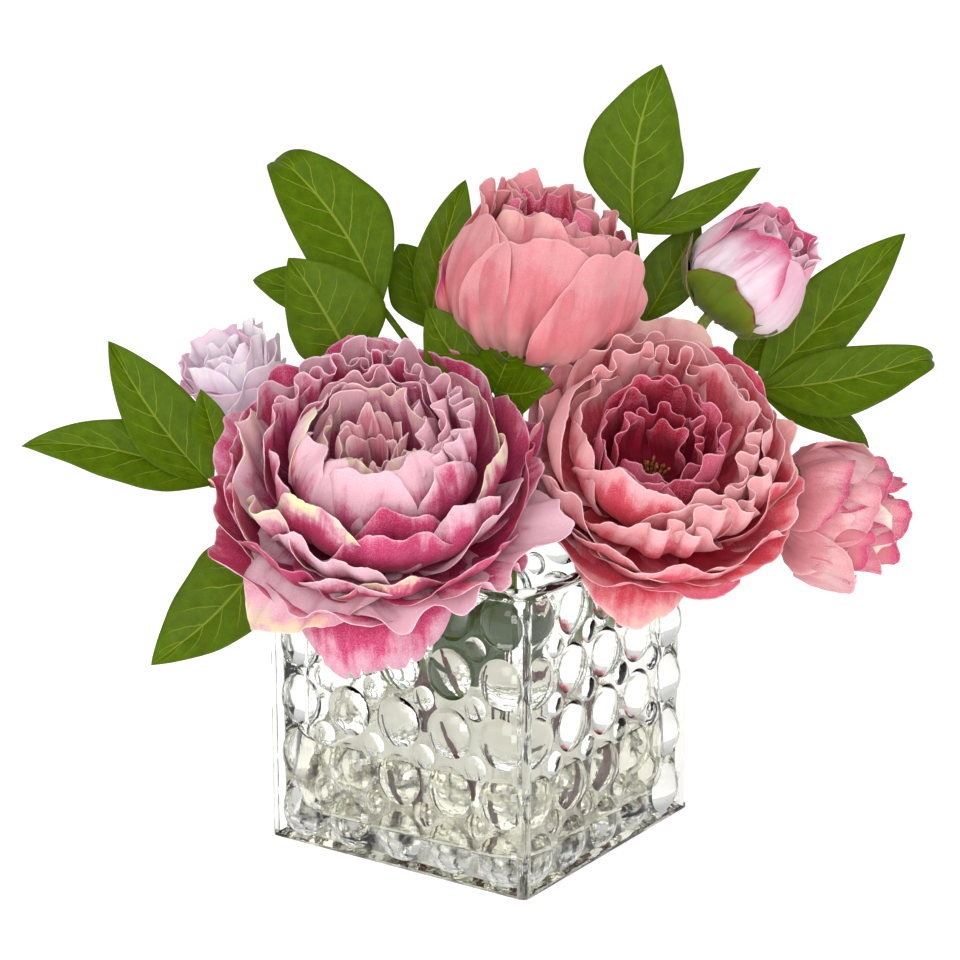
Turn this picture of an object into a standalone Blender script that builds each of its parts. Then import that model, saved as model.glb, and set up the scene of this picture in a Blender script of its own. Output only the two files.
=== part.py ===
"""Six cloth peonies and their leaf sprays in a square bubble-glass vase.

The origin is the centre of the vase's underside, +Z is up and the vase's sides face along X and Y.
The arrangement is seen from the vase's front corner, between its -Y and +X sides.
"""

import math

import bmesh
import bpy
from mathutils import Matrix, Vector

MM = 0.001

# Vase and its clear set water
VASE_SIDE = 115.0 * MM
VASE_HEIGHT = 112.0 * MM
WALL = 5.5 * MM
FLOOR = 10.0 * MM
HOLLOW_CORNER = 13.0 * MM
POST_BEVEL = 2.6 * MM
PANEL_MARGIN = 3.6 * MM
PANEL_RECESS = 0.7 * MM
WATER_LEVEL = 38.0 * MM
GAP = 0.3 * MM

# Stems, petioles and cut cloth
STEM_RADIUS = 2.2 * MM
PETIOLE_RADIUS = 1.2 * MM
FOOT_HEIGHT = 11.0 * MM
NECK_HEIGHT = 44.0 * MM
CLOTH = 0.7 * MM
EYELET = STEM_RADIUS + 0.6 * MM
STACK = 1.5 * MM
LEAF_THICKNESS = 0.9 * MM
LAYER_SEGMENTS = 4
CALYX_SEGMENTS = 3
STEM_SIDES = 8
PETIOLE_SIDES = 6

# How the pieces are shaped: shares of a length or a width unless a unit is given
STEM_LEAN = 0.12
BORE_SIDES = 10
BORE_REACH = 1.6
RING_SPACING = 0.9
LOBE_CUT = 0.20
LAYER_TWIST = 0.7
STAMEN_HEIGHT = 11.0 * MM
STAMEN_FOOT = 3.0 * MM
STAMEN_HEAD = 7.0 * MM
BLADE_STATIONS = (0.14, 0.32, 0.52, 0.72, 0.88)
BLADE_BELLY = 0.85
BLADE_ROUND = 0.8
BLADE_FOLD = 0.12
BLADE_STEP = 0.8

# Directions in the plane of the table: towards the front corner and along the front
FRONT = Vector((0.5645, -0.8255, 0.0))
ALONG = Vector((0.8255, 0.5645, 0.0))
UP = Vector((0.0, 0.0, 1.0))

COLOURS = {
    "glass": ((0.86, 0.90, 0.87), 0.05),
    "water": ((0.90, 0.92, 0.90), 0.05),
    "mauve": ((0.66, 0.20, 0.42), 0.85),
    "coral": ((0.80, 0.26, 0.30), 0.85),
    "cup": ((0.84, 0.38, 0.38), 0.85),
    "blush": ((0.86, 0.60, 0.66), 0.85),
    "lilac": ((0.80, 0.62, 0.76), 0.85),
    "leaf": ((0.10, 0.24, 0.03), 0.6),
    "sepal": ((0.16, 0.26, 0.04), 0.6),
    "stem": ((0.22, 0.12, 0.05), 0.5),
    "stamen": ((0.72, 0.52, 0.14), 0.8),
}

# One row for each flower, in millimetres and degrees:
#   centre      the middle of its widest ring
#   lift, turn  its axis: degrees above the table, and degrees round from FRONT towards ALONG
#   foot, via   where its stem stands on the vase's floor, and points that the stem leans through
#   depth       from the widest ring down to the back of the outer layer
#   layers      (radius, height of the closed top, opening angle, petals) from outside to inside
#   calyx       (extra radius, opening angle)
FLOWERS = {
    "mauve": dict(
        colour="mauve",
        centre=(-5, -61, 145),
        lift=58,
        turn=0,
        foot=(-8, -16),
        via=[],
        depth=24,
        layers=[(61, 34, 86, 5), (52, 33, 100, 6), (44, 32, 112, 5), (35, 31, 121, 6), (25, 30, 128, 5)],
        calyx=(3, 17),
    ),
    "coral": dict(
        colour="coral",
        centre=(64, 18, 147),
        lift=49,
        turn=10,
        foot=(22, 6),
        via=[],
        depth=24,
        layers=[(51, 34, 92, 5), (44, 32, 104, 6), (37, 30, 112, 5), (30, 28, 118, 6), (22, 26, 122, 5)],
        calyx=(3, 20),
    ),
    "cup": dict(
        colour="cup",
        centre=(12, 19, 212),
        lift=80,
        turn=55,
        foot=(4, 12),
        via=[],
        depth=34,
        layers=[(38, 46, 112, 4), (32, 43, 122, 5), (26, 39, 128, 4), (19, 34, 132, 5)],
        calyx=(2, 34),
    ),
    "bud_upper": dict(
        colour="blush",
        centre=(70, 75, 209),
        lift=49,
        turn=78,
        foot=(12, 28),
        via=[(36, 45, 112)],
        depth=21,
        layers=[(19.5, 30, 150, 3), (15, 27, 140, 4)],
        calyx=(2, 72),
    ),
    "bud_right": dict(
        colour="cup",
        centre=(98, 95, 116),
        lift=-3,
        turn=88,
        foot=(28, 26),
        via=[(44, 44, 105), (52, 53, 121)],
        depth=23,
        layers=[(28, 32, 142, 4), (21, 28, 138, 5)],
        calyx=(2, 48),
    ),
    "bud_left": dict(
        colour="lilac",
        centre=(-90, -39, 170),
        lift=68,
        turn=-62,
        foot=(-24, -2),
        via=[(-40, -12, 96), (-55, -18, 119)],
        depth=20,
        layers=[(19, 27, 138, 3), (14.5, 24, 132, 4)],
        calyx=(2, 40),
    ),
}

# One row for each leaf spray, in millimetres and degrees:
#   stem, joint   the flower stem that it is pegged to, and the height of that joint
#   fork          the end of the petiole, where the leaflets part
#   facing        +1 if its upper face shows at the front corner, -1 if it shows at the back
#   leaflets      (yaw from +X, pitch, length, width, bow to its left, droop)
SPRAYS = {
    "leaf_left": dict(
        stem="bud_left", joint=124, fork=(-83, -58, 133), via=[], facing=1,
        leaflets=[(-134, 16, 72, 25, -0.07, 0.04), (-147, 56, 66, 28, 0.04, 0.03)],
    ),
    "leaf_low_left": dict(
        stem="mauve", joint=92, fork=(-54, -56, 120), via=[(-36, -41, 116)], facing=1,
        leaflets=[(-118, -40, 68, 34, 0.08, 0.05)],
    ),
    "leaf_upper_left": dict(
        stem="cup", joint=128, fork=(-42, -7, 197), via=[(-22, 2, 168)], facing=1,
        leaflets=[(-176, 48, 74, 37, -0.07, 0.03), (-172, 8, 59, 23, 0.02, 0.04)],
    ),
    "leaf_mid_left": dict(
        stem="cup", joint=120, fork=(-45, -19, 173), via=[(-24, -2, 150)], facing=1,
        leaflets=[(-146, 61, 50, 38, -0.02, 0.05)],
    ),
    "leaf_centre": dict(
        stem="cup", joint=134, fork=(-34, 14, 187), via=[(-20, 15, 164)], facing=1,
        leaflets=[(88, 68, 60, 22, 0.03, 0.0), (160, 56, 38, 26, -0.05, 0.03)],
    ),
    "leaf_under_cup": dict(
        stem="cup", joint=148, fork=(5, 0, 170), via=[], facing=1,
        leaflets=[(-146, 42, 36, 20, 0.09, 0.0), (-122, 27, 20, 14, 0.06, 0.0), (-12, 4, 25, 18, 0.0, 0.02)],
    ),
    "leaf_top_right": dict(
        stem="bud_upper", joint=150, fork=(24, 66, 222), via=[(31, 63, 185)], facing=1,
        leaflets=[(62, 80, 64, 34, 0.09, 0.03), (34, 29, 54, 15, -0.06, 0.04)],
    ),
    "leaf_beside_cup": dict(
        stem="bud_upper", joint=142, fork=(26, 71, 187), via=[], facing=1,
        leaflets=[(54, 60, 46, 22, -0.02, 0.05)],
    ),
    "leaf_right": dict(
        stem="bud_upper", joint=128, fork=(64, 95, 161), via=[(50, 72, 146)], facing=1,
        leaflets=[(46, 46, 84, 29, -0.01, 0.03), (24, 12, 69, 28, -0.11, 0.03), (38, -20, 49, 15, 0.05, 0.04)],
    ),
    "leaf_under_bud": dict(
        stem="bud_upper", joint=154, fork=(54, 97, 166), via=[], facing=1,
        leaflets=[(38, 56, 24, 17, 0.0, 0.05)],
    ),
    "leaf_before_bud": dict(
        stem="bud_left", joint=134, fork=(-75, -63, 147), via=[], facing=1,
        leaflets=[(-110, 74, 25, 14, 0.0, 0.05)],
    ),
    "leaf_in_vase": dict(
        stem="mauve", joint=56, fork=(14, -32, 64), via=[], facing=1,
        leaflets=[(-18, 52, 40, 18, 0.0, 0.0), (-60, 60, 34, 14, 0.0, 0.0), (25, 40, 36, 15, 0.0, 0.0)],
    ),
    "leaf_back_left": dict(
        stem="bud_left", joint=100, fork=(-52, 28, 132), via=[], facing=-1,
        leaflets=[(165, 30, 62, 24, 0.04, 0.10), (125, 12, 54, 22, 0.0, 0.12)],
    ),
    "leaf_back_right": dict(
        stem="cup", joint=108, fork=(4, 72, 138), via=[], facing=-1,
        leaflets=[(96, 38, 60, 26, -0.04, 0.12), (60, 2, 52, 20, 0.05, 0.12), (128, 4, 56, 22, 0.0, 0.12)],
    ),
}


def mm(point):
    return Vector(point) * MM


def stand(point, direction):
    """The place of a piece that stands on the point with its Z along the direction."""
    return Matrix.Translation(point) @ direction.to_track_quat("Z", "Y").to_matrix().to_4x4()


def heading(lift, turn):
    """The unit direction at these degrees above the table and round from FRONT towards ALONG."""
    lift, turn = math.radians(lift), math.radians(turn)
    level = FRONT * math.cos(turn) + ALONG * math.sin(turn)
    return level * math.cos(lift) + UP * math.sin(lift)


def clear_scene():
    for item in list(bpy.data.objects):
        bpy.data.objects.remove(item)


def material(key):
    """The named finish, made the first time it is asked for."""
    if key in bpy.data.materials:
        return bpy.data.materials[key]
    colour, roughness = COLOURS[key]
    finish = bpy.data.materials.new(key)
    finish.use_nodes = True
    shader = finish.node_tree.nodes["Principled BSDF"]
    shader.inputs["Base Color"].default_value = (*colour, 1.0)
    shader.inputs["Roughness"].default_value = roughness
    shader.inputs["Metallic"].default_value = 0.0
    return finish


def add_object(name, data, finish):
    item = bpy.data.objects.new(name, data)
    bpy.context.collection.objects.link(item)
    if finish:
        data.materials.append(material(finish))
    return item


def mesh_object(name, bm, finish, smooth_angle=40):
    """An object from an edit mesh, shaded smooth where its faces meet at less than the angle."""
    data = bpy.data.meshes.new(name)
    bm.to_mesh(data)
    bm.free()
    data.shade_smooth()
    data.set_sharp_from_angle(angle=math.radians(smooth_angle))
    return add_object(name, data, finish)


def guide(item):
    """Marks a cutter, or a piece that a union takes in, as no part of its own."""
    item.hide_render = True
    item.display_type = "WIRE"
    return item


def combine(item, other, operation):
    modifier = item.modifiers.new(other.name, "BOOLEAN")
    modifier.operation = operation
    modifier.solver = "EXACT"
    modifier.object = guide(other)


def rounded_box(side, bottom, top, corner, segments):
    """A square block standing from bottom to top with its upright edges rounded."""
    bm = bmesh.new()
    bmesh.ops.create_cube(bm, size=1.0)
    bmesh.ops.scale(bm, vec=(side, side, top - bottom), verts=bm.verts)
    bmesh.ops.translate(bm, vec=(0, 0, (top + bottom) / 2), verts=bm.verts)
    upright = [e for e in bm.edges if abs((e.verts[0].co - e.verts[1].co).z) > MM]
    bmesh.ops.bevel(
        bm, geom=upright, offset=corner, segments=segments, profile=0.5, affect="EDGES", material=-1
    )
    return bm


def build_vase():
    """The pressed-glass cube: four sunk panels between its corner posts, and a square well."""
    bm = rounded_box(VASE_SIDE, 0.0, VASE_HEIGHT, POST_BEVEL, 2)
    panels = [f for f in bm.faces if f.calc_area() > 0.5 * VASE_SIDE * VASE_HEIGHT and abs(f.normal.z) < 0.5]
    bmesh.ops.inset_individual(bm, faces=panels, thickness=PANEL_MARGIN, depth=-PANEL_RECESS)
    vase = mesh_object("glass_vase", bm, "glass")
    well = rounded_box(VASE_SIDE - 2 * WALL, FLOOR, VASE_HEIGHT + WALL, HOLLOW_CORNER, 4)
    combine(vase, mesh_object("vase_well", well, None), "DIFFERENCE")


def build_water(stems):
    """The clear set water, with a hole round every stem that stands in it."""
    side = VASE_SIDE - 2 * WALL - 2 * GAP
    bm = rounded_box(side, FLOOR + GAP, WATER_LEVEL, HOLLOW_CORNER - GAP, 4)
    water = mesh_object("set_water", bm, "water")
    for key, route in stems.items():
        along = route[1] - route[0]
        bore = bmesh.new()
        bmesh.ops.create_cone(
            bore, cap_ends=True, segments=BORE_SIDES, depth=along.length * BORE_REACH,
            radius1=STEM_RADIUS + 2 * GAP, radius2=STEM_RADIUS + 2 * GAP,
        )
        bmesh.ops.transform(bore, matrix=stand((route[0] + route[1]) / 2, along), verts=bore.verts)
        combine(water, mesh_object(f"bore_{key}", bore, None), "DIFFERENCE")


def smooth_route(points, first, last, steps):
    """Points along a smooth curve through the given ones, with set directions at its two ends."""
    tangents = [first.normalized() * (points[1] - points[0]).length]
    for before, after in zip(points, points[2:]):
        tangents.append((after - before) / 2)
    tangents.append(last.normalized() * (points[-1] - points[-2]).length)
    route = [points[0]]
    for i in range(len(points) - 1):
        for k in range(1, steps + 1):
            t = k / steps
            route.append(
                points[i] * (2 * t**3 - 3 * t**2 + 1)
                + tangents[i] * (t**3 - 2 * t**2 + t)
                + points[i + 1] * (3 * t**2 - 2 * t**3)
                + tangents[i + 1] * (t**3 - t**2)
            )
    return route


def tube(name, route, radius, finish, sides):
    """A round tube along the route with closed ends."""
    curve = bpy.data.curves.new(name, "CURVE")
    curve.dimensions = "3D"
    curve.bevel_depth = radius
    curve.bevel_resolution = sides // 2 - 2
    curve.use_fill_caps = True
    spline = curve.splines.new("POLY")
    spline.points.add(len(route) - 1)
    for point, place in zip(spline.points, route):
        point.co = (*place, 1.0)
    spline.use_smooth = True
    return add_object(name, curve, finish)


def build_stem(key, flower):
    """One flower's stem, from the vase's floor up through the eyelets of its petal layers."""
    axis = heading(flower["lift"], flower["turn"])
    centre = mm(flower["centre"])
    depth = flower["depth"] * MM
    layers = len(flower["layers"])
    seat = centre - axis * (depth + 3 * STACK)
    tip = centre - axis * (depth - layers * STACK)
    foot = Vector((flower["foot"][0] * MM, flower["foot"][1] * MM, FOOT_HEIGHT))
    goal = mm(flower["via"][0]) if flower["via"] else seat
    lean = Vector((goal.x - foot.x, goal.y - foot.y, 0)) * STEM_LEAN
    neck = foot + lean + UP * (NECK_HEIGHT - FOOT_HEIGHT)
    points = [neck] + [mm(p) for p in flower["via"]] + [seat]
    route = [foot] + smooth_route(points, neck - foot, axis, 8 if len(points) < 3 else 4) + [tip]
    tube(f"{key}_stem", route, STEM_RADIUS, "stem", STEM_SIDES)
    return route


def petal_layer(name, flower, index, radius, top, opening, petals, finish):
    """One cut layer of petals: a lobed cloth cup round the stem, thickened to a closed shell.

    Every layer of a flower is a band of an ellipsoid about the same centre, so the layers nest.
    """
    axis = heading(flower["lift"], flower["turn"])
    depth = flower["depth"] * MM - index * STACK
    radius, top = radius * MM, top * MM
    start, end = math.asin(EYELET / radius), math.radians(opening)
    steps = CALYX_SEGMENTS if index < 0 else LAYER_SEGMENTS

    bm = bmesh.new()
    profile = []
    for k in range(steps + 1):
        angle = start + (end - start) * (k / steps) ** RING_SPACING
        rise = -math.cos(angle) * (depth if angle < math.pi / 2 else top)
        profile.append(bm.verts.new((radius * math.sin(angle), 0, rise)))
    edges = [bm.edges.new(pair) for pair in zip(profile, profile[1:])]
    bmesh.ops.spin(
        bm, geom=profile + edges, cent=(0, 0, 0), axis=(0, 0, 1),
        angle=math.tau, steps=4 * petals, use_merge=True,
    )
    for vert in bm.verts:
        turn = math.atan2(vert.co.y, vert.co.x)
        reach = math.hypot(vert.co.x, vert.co.y) / radius
        angle = math.atan2(reach, -vert.co.z / (depth if vert.co.z < 0 else top))
        part = (angle - start) / (end - start)
        lobe = abs(math.cos(turn * petals / 2))
        angle -= LOBE_CUT * (1 - lobe) * part**2 * (end - start)
        rise = -math.cos(angle) * (depth if angle < math.pi / 2 else top)
        vert.co = (radius * math.sin(angle) * math.cos(turn), radius * math.sin(angle) * math.sin(turn), rise)
    twist = Matrix.Rotation(index * LAYER_TWIST, 4, "Z")
    bmesh.ops.transform(bm, matrix=stand(mm(flower["centre"]), axis) @ twist, verts=bm.verts)
    bmesh.ops.recalc_face_normals(bm, faces=bm.faces)
    layer = mesh_object(name, bm, finish, 60)
    thicken = layer.modifiers.new("cloth", "SOLIDIFY")
    thicken.thickness = CLOTH
    thicken.offset = 0.0
    thicken.use_even_offset = True


def build_flower(key, flower):
    """The calyx and the nested petal layers of one flower."""
    extra, spread = flower["calyx"]
    outer = flower["layers"][0]
    petal_layer(f"{key}_calyx", flower, -1, outer[0] + extra, outer[1], spread, 5, "sepal")
    for index, (radius, top, opening, petals) in enumerate(flower["layers"]):
        name = f"{key}_petals_{index + 1}"
        petal_layer(name, flower, index, radius, top, opening, petals, flower["colour"])


def build_stamens(key):
    """The tuft of stamens on the end of an open flower's stem."""
    flower = FLOWERS[key]
    axis = heading(flower["lift"], flower["turn"])
    tip = mm(flower["centre"]) - axis * (flower["depth"] * MM - len(flower["layers"]) * STACK)
    bm = bmesh.new()
    bmesh.ops.create_cone(
        bm, cap_ends=True, segments=BORE_SIDES, depth=STAMEN_HEIGHT, radius1=STAMEN_FOOT, radius2=STAMEN_HEAD
    )
    place = stand(tip + axis * (STAMEN_HEIGHT / 2 + 2 * GAP), axis)
    bmesh.ops.transform(bm, matrix=place, verts=bm.verts)
    mesh_object(f"{key}_stamens", bm, "stamen")


def build_leaflet(name, base, facing, yaw, pitch, length, width, bow, droop):
    """One blade: a bowed, drooping, lens-thin leaf that tapers to a point at both ends."""
    yaw, pitch = math.radians(yaw), math.radians(pitch)
    ahead = Vector((math.cos(pitch) * math.cos(yaw), math.cos(pitch) * math.sin(yaw), math.sin(pitch)))
    outward = FRONT * (0.9 * facing) + UP * 0.55
    face = (outward - ahead * outward.dot(ahead)).normalized()
    left = face.cross(ahead)
    length, width = length * MM, width * MM

    def ridge(s):
        sideways = left * (bow * length * 4 * s * (1 - s))
        down = face * (droop * length * s * s)
        return base + ahead * (length * s) + sideways - down

    bm = bmesh.new()
    sections = []
    for s in BLADE_STATIONS:
        half = width / 2 * math.sin(math.pi * s**BLADE_BELLY) ** BLADE_ROUND
        middle = ridge(s)
        lift = face * LEAF_THICKNESS / 2
        fold = face * (half * BLADE_FOLD)
        corners = (middle + left * half + fold, middle - lift, middle - left * half + fold, middle + lift)
        sections.append([bm.verts.new(c) for c in corners])
    for ring, after in zip(sections, sections[1:]):
        for k in range(4):
            bm.faces.new((ring[k], ring[k - 3], after[k - 3], after[k]))
    for ring, end in ((sections[0], ridge(0.0)), (sections[-1], ridge(1.0))):
        point = bm.verts.new(end)
        for k in range(4):
            bm.faces.new((ring[k], ring[k - 3], point))
    bmesh.ops.recalc_face_normals(bm, faces=bm.faces)
    return mesh_object(name, bm, "leaf", 30)


def build_spray(key, spray, stems):
    """A petiole pegged beside a flower's stem, with its leaflets joined to its far end."""
    route = stems[spray["stem"]]
    height = spray["joint"] * MM
    below, above = next(pair for pair in zip(route, route[1:]) if pair[1].z > height)
    peg = below.lerp(above, (height - below.z) / (above.z - below.z))
    fork = mm(spray["fork"])
    goal = mm(spray["via"][0]) if spray["via"] else fork
    upward = (above - below).normalized()
    side = ((goal - peg) - upward * (goal - peg).dot(upward)).normalized()
    start = peg + side * (STEM_RADIUS + PETIOLE_RADIUS + 2 * GAP)
    points = [start] + [mm(p) for p in spray["via"]] + [fork]
    path = smooth_route(points, side + upward, fork - points[-2], 4 if len(points) < 3 else 3)
    petiole = tube(f"{key}_petiole", path, PETIOLE_RADIUS, "leaf", PETIOLE_SIDES)
    bm = bmesh.new()
    bm.from_mesh(bpy.data.meshes.new_from_object(petiole))
    bpy.data.objects.remove(petiole)
    bmesh.ops.remove_doubles(bm, verts=bm.verts, dist=1e-6)
    leaf = mesh_object(key, bm, "leaf", 50)
    for number, leaflet in enumerate(spray["leaflets"]):
        base = path[-1] + (path[-2] - path[-1]).normalized() * (PETIOLE_RADIUS * (1 + BLADE_STEP * number))
        blade = build_leaflet(f"{key}_blade_{number + 1}", base, spray["facing"], *leaflet)
        combine(leaf, blade, "UNION")


clear_scene()
build_vase()
stem_routes = {key: build_stem(key, flower) for key, flower in FLOWERS.items()}
build_water(stem_routes)
for flower_key, flower_row in FLOWERS.items():
    build_flower(flower_key, flower_row)
for open_flower in ("mauve", "coral", "cup"):
    build_stamens(open_flower)
for spray_key, spray_row in SPRAYS.items():
    build_spray(spray_key, spray_row, stem_routes)
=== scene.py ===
import math
import random

import bmesh
import bpy
from mathutils import Matrix, Vector, noise


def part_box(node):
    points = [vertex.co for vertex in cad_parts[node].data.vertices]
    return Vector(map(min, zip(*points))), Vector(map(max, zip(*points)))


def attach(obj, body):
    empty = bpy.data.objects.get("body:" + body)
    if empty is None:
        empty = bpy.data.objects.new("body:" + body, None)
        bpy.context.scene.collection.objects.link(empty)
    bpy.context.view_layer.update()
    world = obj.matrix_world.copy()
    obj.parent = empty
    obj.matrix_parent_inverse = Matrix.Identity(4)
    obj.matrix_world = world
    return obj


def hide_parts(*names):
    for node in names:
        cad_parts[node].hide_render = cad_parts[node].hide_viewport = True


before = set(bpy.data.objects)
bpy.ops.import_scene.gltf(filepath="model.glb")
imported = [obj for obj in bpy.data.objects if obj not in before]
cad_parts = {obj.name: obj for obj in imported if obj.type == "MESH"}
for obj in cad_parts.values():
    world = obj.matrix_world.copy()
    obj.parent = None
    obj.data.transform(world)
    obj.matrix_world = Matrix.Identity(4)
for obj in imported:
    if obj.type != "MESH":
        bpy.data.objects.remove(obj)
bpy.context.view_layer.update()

# Cloth peonies and leaf sprays in a square bubble-glass vase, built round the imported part.
# Sizes in millimetres are turned to metres where a mesh is made. +Z is up.
MM = 0.001

# ---------------------------------------------------------------------------------------------
# The vase: one pressed-glass cube. Four posts stand at its corners, each face between them is
# sunk, and rows of large and small round bubbles stand up from the sunk panel. The rim is
# fire-polished round, and the well has soft corners.
vase_low, vase_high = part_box("glass_vase")
vase_side = vase_high.x - vase_low.x
vase_height = vase_high.z
WALL = 5.5 * MM
GLASS_FLOOR = 10 * MM
WELL_CORNER = 13 * MM
POST_ROUND = 2.6 * MM
PANEL_MARGIN = 3.4 * MM
PANEL_SINK = 3.2 * MM
RIM_ROUND = 2.2 * MM
HEEL_ROUND = 5 * MM
ROUND_STEPS = 6
HEEL_STEPS = 5
BUBBLE_ROWS = 5
BUBBLE_STEPS = 7
BUBBLE_PITCH = 0.195 * vase_side
BUBBLE_RADIUS = 9.6 * MM
BUBBLE_RISE = 4.2 * MM
SMALL_RADIUS = 4.7 * MM
SMALL_RISE = 2.5 * MM
ROW_SQUEEZE = 0.985
TOUCHING = 0.01 * MM


def dye(code):
    """The linear colour of a six-digit colour code, as dyers and printers write it."""
    parts = [int(code[i:i + 2], 16) / 255 for i in (0, 2, 4)]
    return (*(((c + 0.055) / 1.055) ** 2.4 if c > 0.04 else c / 12.92 for c in parts), 1.0)


def put(tree, kind, sockets=None, **settings):
    """A shader node with its settings made and its sockets given a value or a wire."""
    node = tree.nodes.new("ShaderNode" + kind)
    for key, value in settings.items():
        setattr(node, key, value)
    for key, value in (sockets or {}).items():
        if isinstance(value, bpy.types.NodeSocket):
            tree.links.new(value, node.inputs[key])
        else:
            node.inputs[key].default_value = value
    return node


def reckon(tree, operation, first, second=0.0, third=0.0):
    """The result of one sum on two or three values."""
    return put(tree, "Math", {0: first, 1: second, 2: third}, operation=operation).outputs[0]


def grain(tree, where, size, detail=2.0, roughness=0.5):
    """Soft spots about this size across, in metres, from 0 to 1."""
    sockets = {"Vector": where, "Scale": 1 / size, "Detail": detail, "Roughness": roughness}
    return put(tree, "TexNoise", sockets).outputs[0]


def new_finish(name, values):
    """A new material with these values on its shader's sockets, its node tree and its shader."""
    finish = bpy.data.materials.new(name)
    finish.use_nodes = True
    shader = finish.node_tree.nodes["Principled BSDF"]
    for key, value in values.items():
        shader.inputs[key].default_value = value
    return finish, finish.node_tree, shader


def relief(tree, shader, height, strength, distance):
    """Small relief that the shader shows by bending its normal."""
    sockets = {"Height": height, "Strength": strength, "Distance": distance}
    bump = put(tree, "Bump", sockets)
    tree.links.new(bump.outputs[0], shader.inputs["Normal"])


def finish_piece(name, bm, finish, nodes, crease=40):
    """The finished object: shaded smooth, riding on the body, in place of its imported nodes."""
    mesh = bpy.data.meshes.new(name)
    bm.to_mesh(mesh)
    bm.free()
    mesh.shade_smooth()
    mesh.set_sharp_from_angle(angle=math.radians(crease))
    mesh.materials.append(finish)
    piece = bpy.data.objects.new(name, mesh)
    bpy.context.collection.objects.link(piece)
    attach(piece, "root")
    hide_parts(*nodes)
    return piece


def quarter_bend(radius, steps):
    """The step in and the step along for each part of a quarter bend of this radius."""
    for step in range(steps):
        before, after = (math.radians(90 * k / steps) for k in (step, step + 1))
        yield radius * (math.cos(before) - math.cos(after)), radius * (math.sin(after) - math.sin(before))


def turn_edge(bm, face, radius, steps, way=1):
    """Carries a face round a quarter bend by insets, out of its own side or, at -1, inwards."""
    for inward, along in quarter_bend(radius, steps):
        bmesh.ops.inset_individual(bm, faces=[face], thickness=inward, depth=way * along)


def sink_well(bm, half, corner, mouth, floor, heel, lip):
    """A rounded square pit from its mouth, which stays open, to its floor."""
    sheet = bmesh.ops.create_grid(bm, x_segments=1, y_segments=1, size=half + lip)
    bmesh.ops.translate(bm, vec=(0, 0, mouth), verts=sheet["verts"])
    rounded = bmesh.ops.bevel(
        bm, geom=sheet["verts"], offset=corner + lip, segments=8, profile=0.5, affect="VERTICES", material=-1
    )
    face = rounded["verts"][0].link_faces[0]
    drop = mouth - floor - heel
    if lip:
        for down, inward in quarter_bend(lip, ROUND_STEPS):
            bmesh.ops.inset_individual(bm, faces=[face], thickness=inward, depth=-down)
        drop -= lip
    wall = bmesh.ops.extrude_discrete_faces(bm, faces=[face])
    face = wall["faces"][0]
    bmesh.ops.translate(bm, vec=(0, 0, -drop), verts=face.verts)
    turn_edge(bm, face, heel, HEEL_STEPS, -1)


def open_edges(bm, height):
    """The edges of open holes at this height."""
    return [e for e in bm.edges if e.is_boundary and all(abs(v.co.z - height) < TOUCHING for v in e.verts)]


def rim_edges(drawn, verts):
    """The edges of an extrusion that join its new vertices: its free rim."""
    return [g for g in drawn if isinstance(g, bmesh.types.BMEdge) and all(v in verts for v in g.verts)]


def blow_bubble(bm, loop, centre, outward, radius, rise, rings):
    """A low round bubble, drawn up from a circle of edges ring by ring to its crown."""
    ball = (radius**2 + rise**2) / (2 * rise)
    crown = centre + outward * rise
    for ring in range(1, rings + 1):
        reach = radius * math.cos(math.pi / 2 * ring / rings)
        height = math.sqrt(ball**2 - reach**2) - (ball - rise)
        drawn = bmesh.ops.extrude_edge_only(bm, edges=loop)["geom"]
        verts = [g for g in drawn if isinstance(g, bmesh.types.BMVert)]
        loop = rim_edges(drawn, verts)
        if ring == rings:
            bmesh.ops.pointmerge(bm, verts=verts, merge_co=crown)
            return
        for vert in verts:
            level = vert.co - outward * (vert.co - centre).dot(outward)
            vert.co = centre + (level - centre).normalized() * reach + outward * height


def press_face():
    """One of the vase's four faces, standing at -Y: its frame, its sunk panel and the rows of
    bubbles, with a small one between each four large."""
    bm = bmesh.new()
    outward = Vector((0, -1, 0))
    facing = outward.to_track_quat("Z", "Y").to_matrix().to_4x4()
    bmesh.ops.create_grid(bm, x_segments=1, y_segments=1, size=0.5, matrix=facing)
    bmesh.ops.scale(bm, vec=(vase_side - 2 * POST_ROUND, 1, block_height), verts=bm.verts)
    bmesh.ops.translate(bm, vec=(0, -vase_side / 2, block_height / 2), verts=bm.verts)
    face = bm.faces[:][0]
    bmesh.ops.inset_individual(bm, faces=[face], thickness=PANEL_MARGIN * 0.4, depth=0.0)
    bmesh.ops.inset_individual(bm, faces=[face], thickness=PANEL_MARGIN * 0.6, depth=-PANEL_SINK)
    middle = face.calc_center_median()
    edges = list(face.edges)
    bmesh.ops.delete(bm, geom=[face], context="FACES_ONLY")
    bubbles = []
    for rows, radius, rise, sides in (
        (BUBBLE_ROWS, BUBBLE_RADIUS, BUBBLE_RISE, 36),
        (BUBBLE_ROWS - 1, SMALL_RADIUS, SMALL_RISE, 24),
    ):
        for row in range(rows):
            for column in range(rows):
                shift = (rows - 1) / 2
                centre = middle + Vector((column - shift, 0, (row - shift) * ROW_SQUEEZE)) * BUBBLE_PITCH
                circle = bmesh.ops.create_circle(
                    bm, segments=sides, radius=radius, matrix=Matrix.Translation(centre) @ facing
                )
                loop = list(dict.fromkeys(e for v in circle["verts"] for e in v.link_edges))
                bubbles.append((loop, centre, radius, rise))
                edges += loop
    bmesh.ops.triangle_fill(bm, edges=edges, use_beauty=True, normal=outward)
    for loop, centre, radius, rise in bubbles:
        blow_bubble(bm, loop, centre, outward, radius, rise, BUBBLE_STEPS)
    pressed = bpy.data.meshes.new("pressed_face")
    bm.to_mesh(pressed)
    bm.free()
    return pressed


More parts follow.
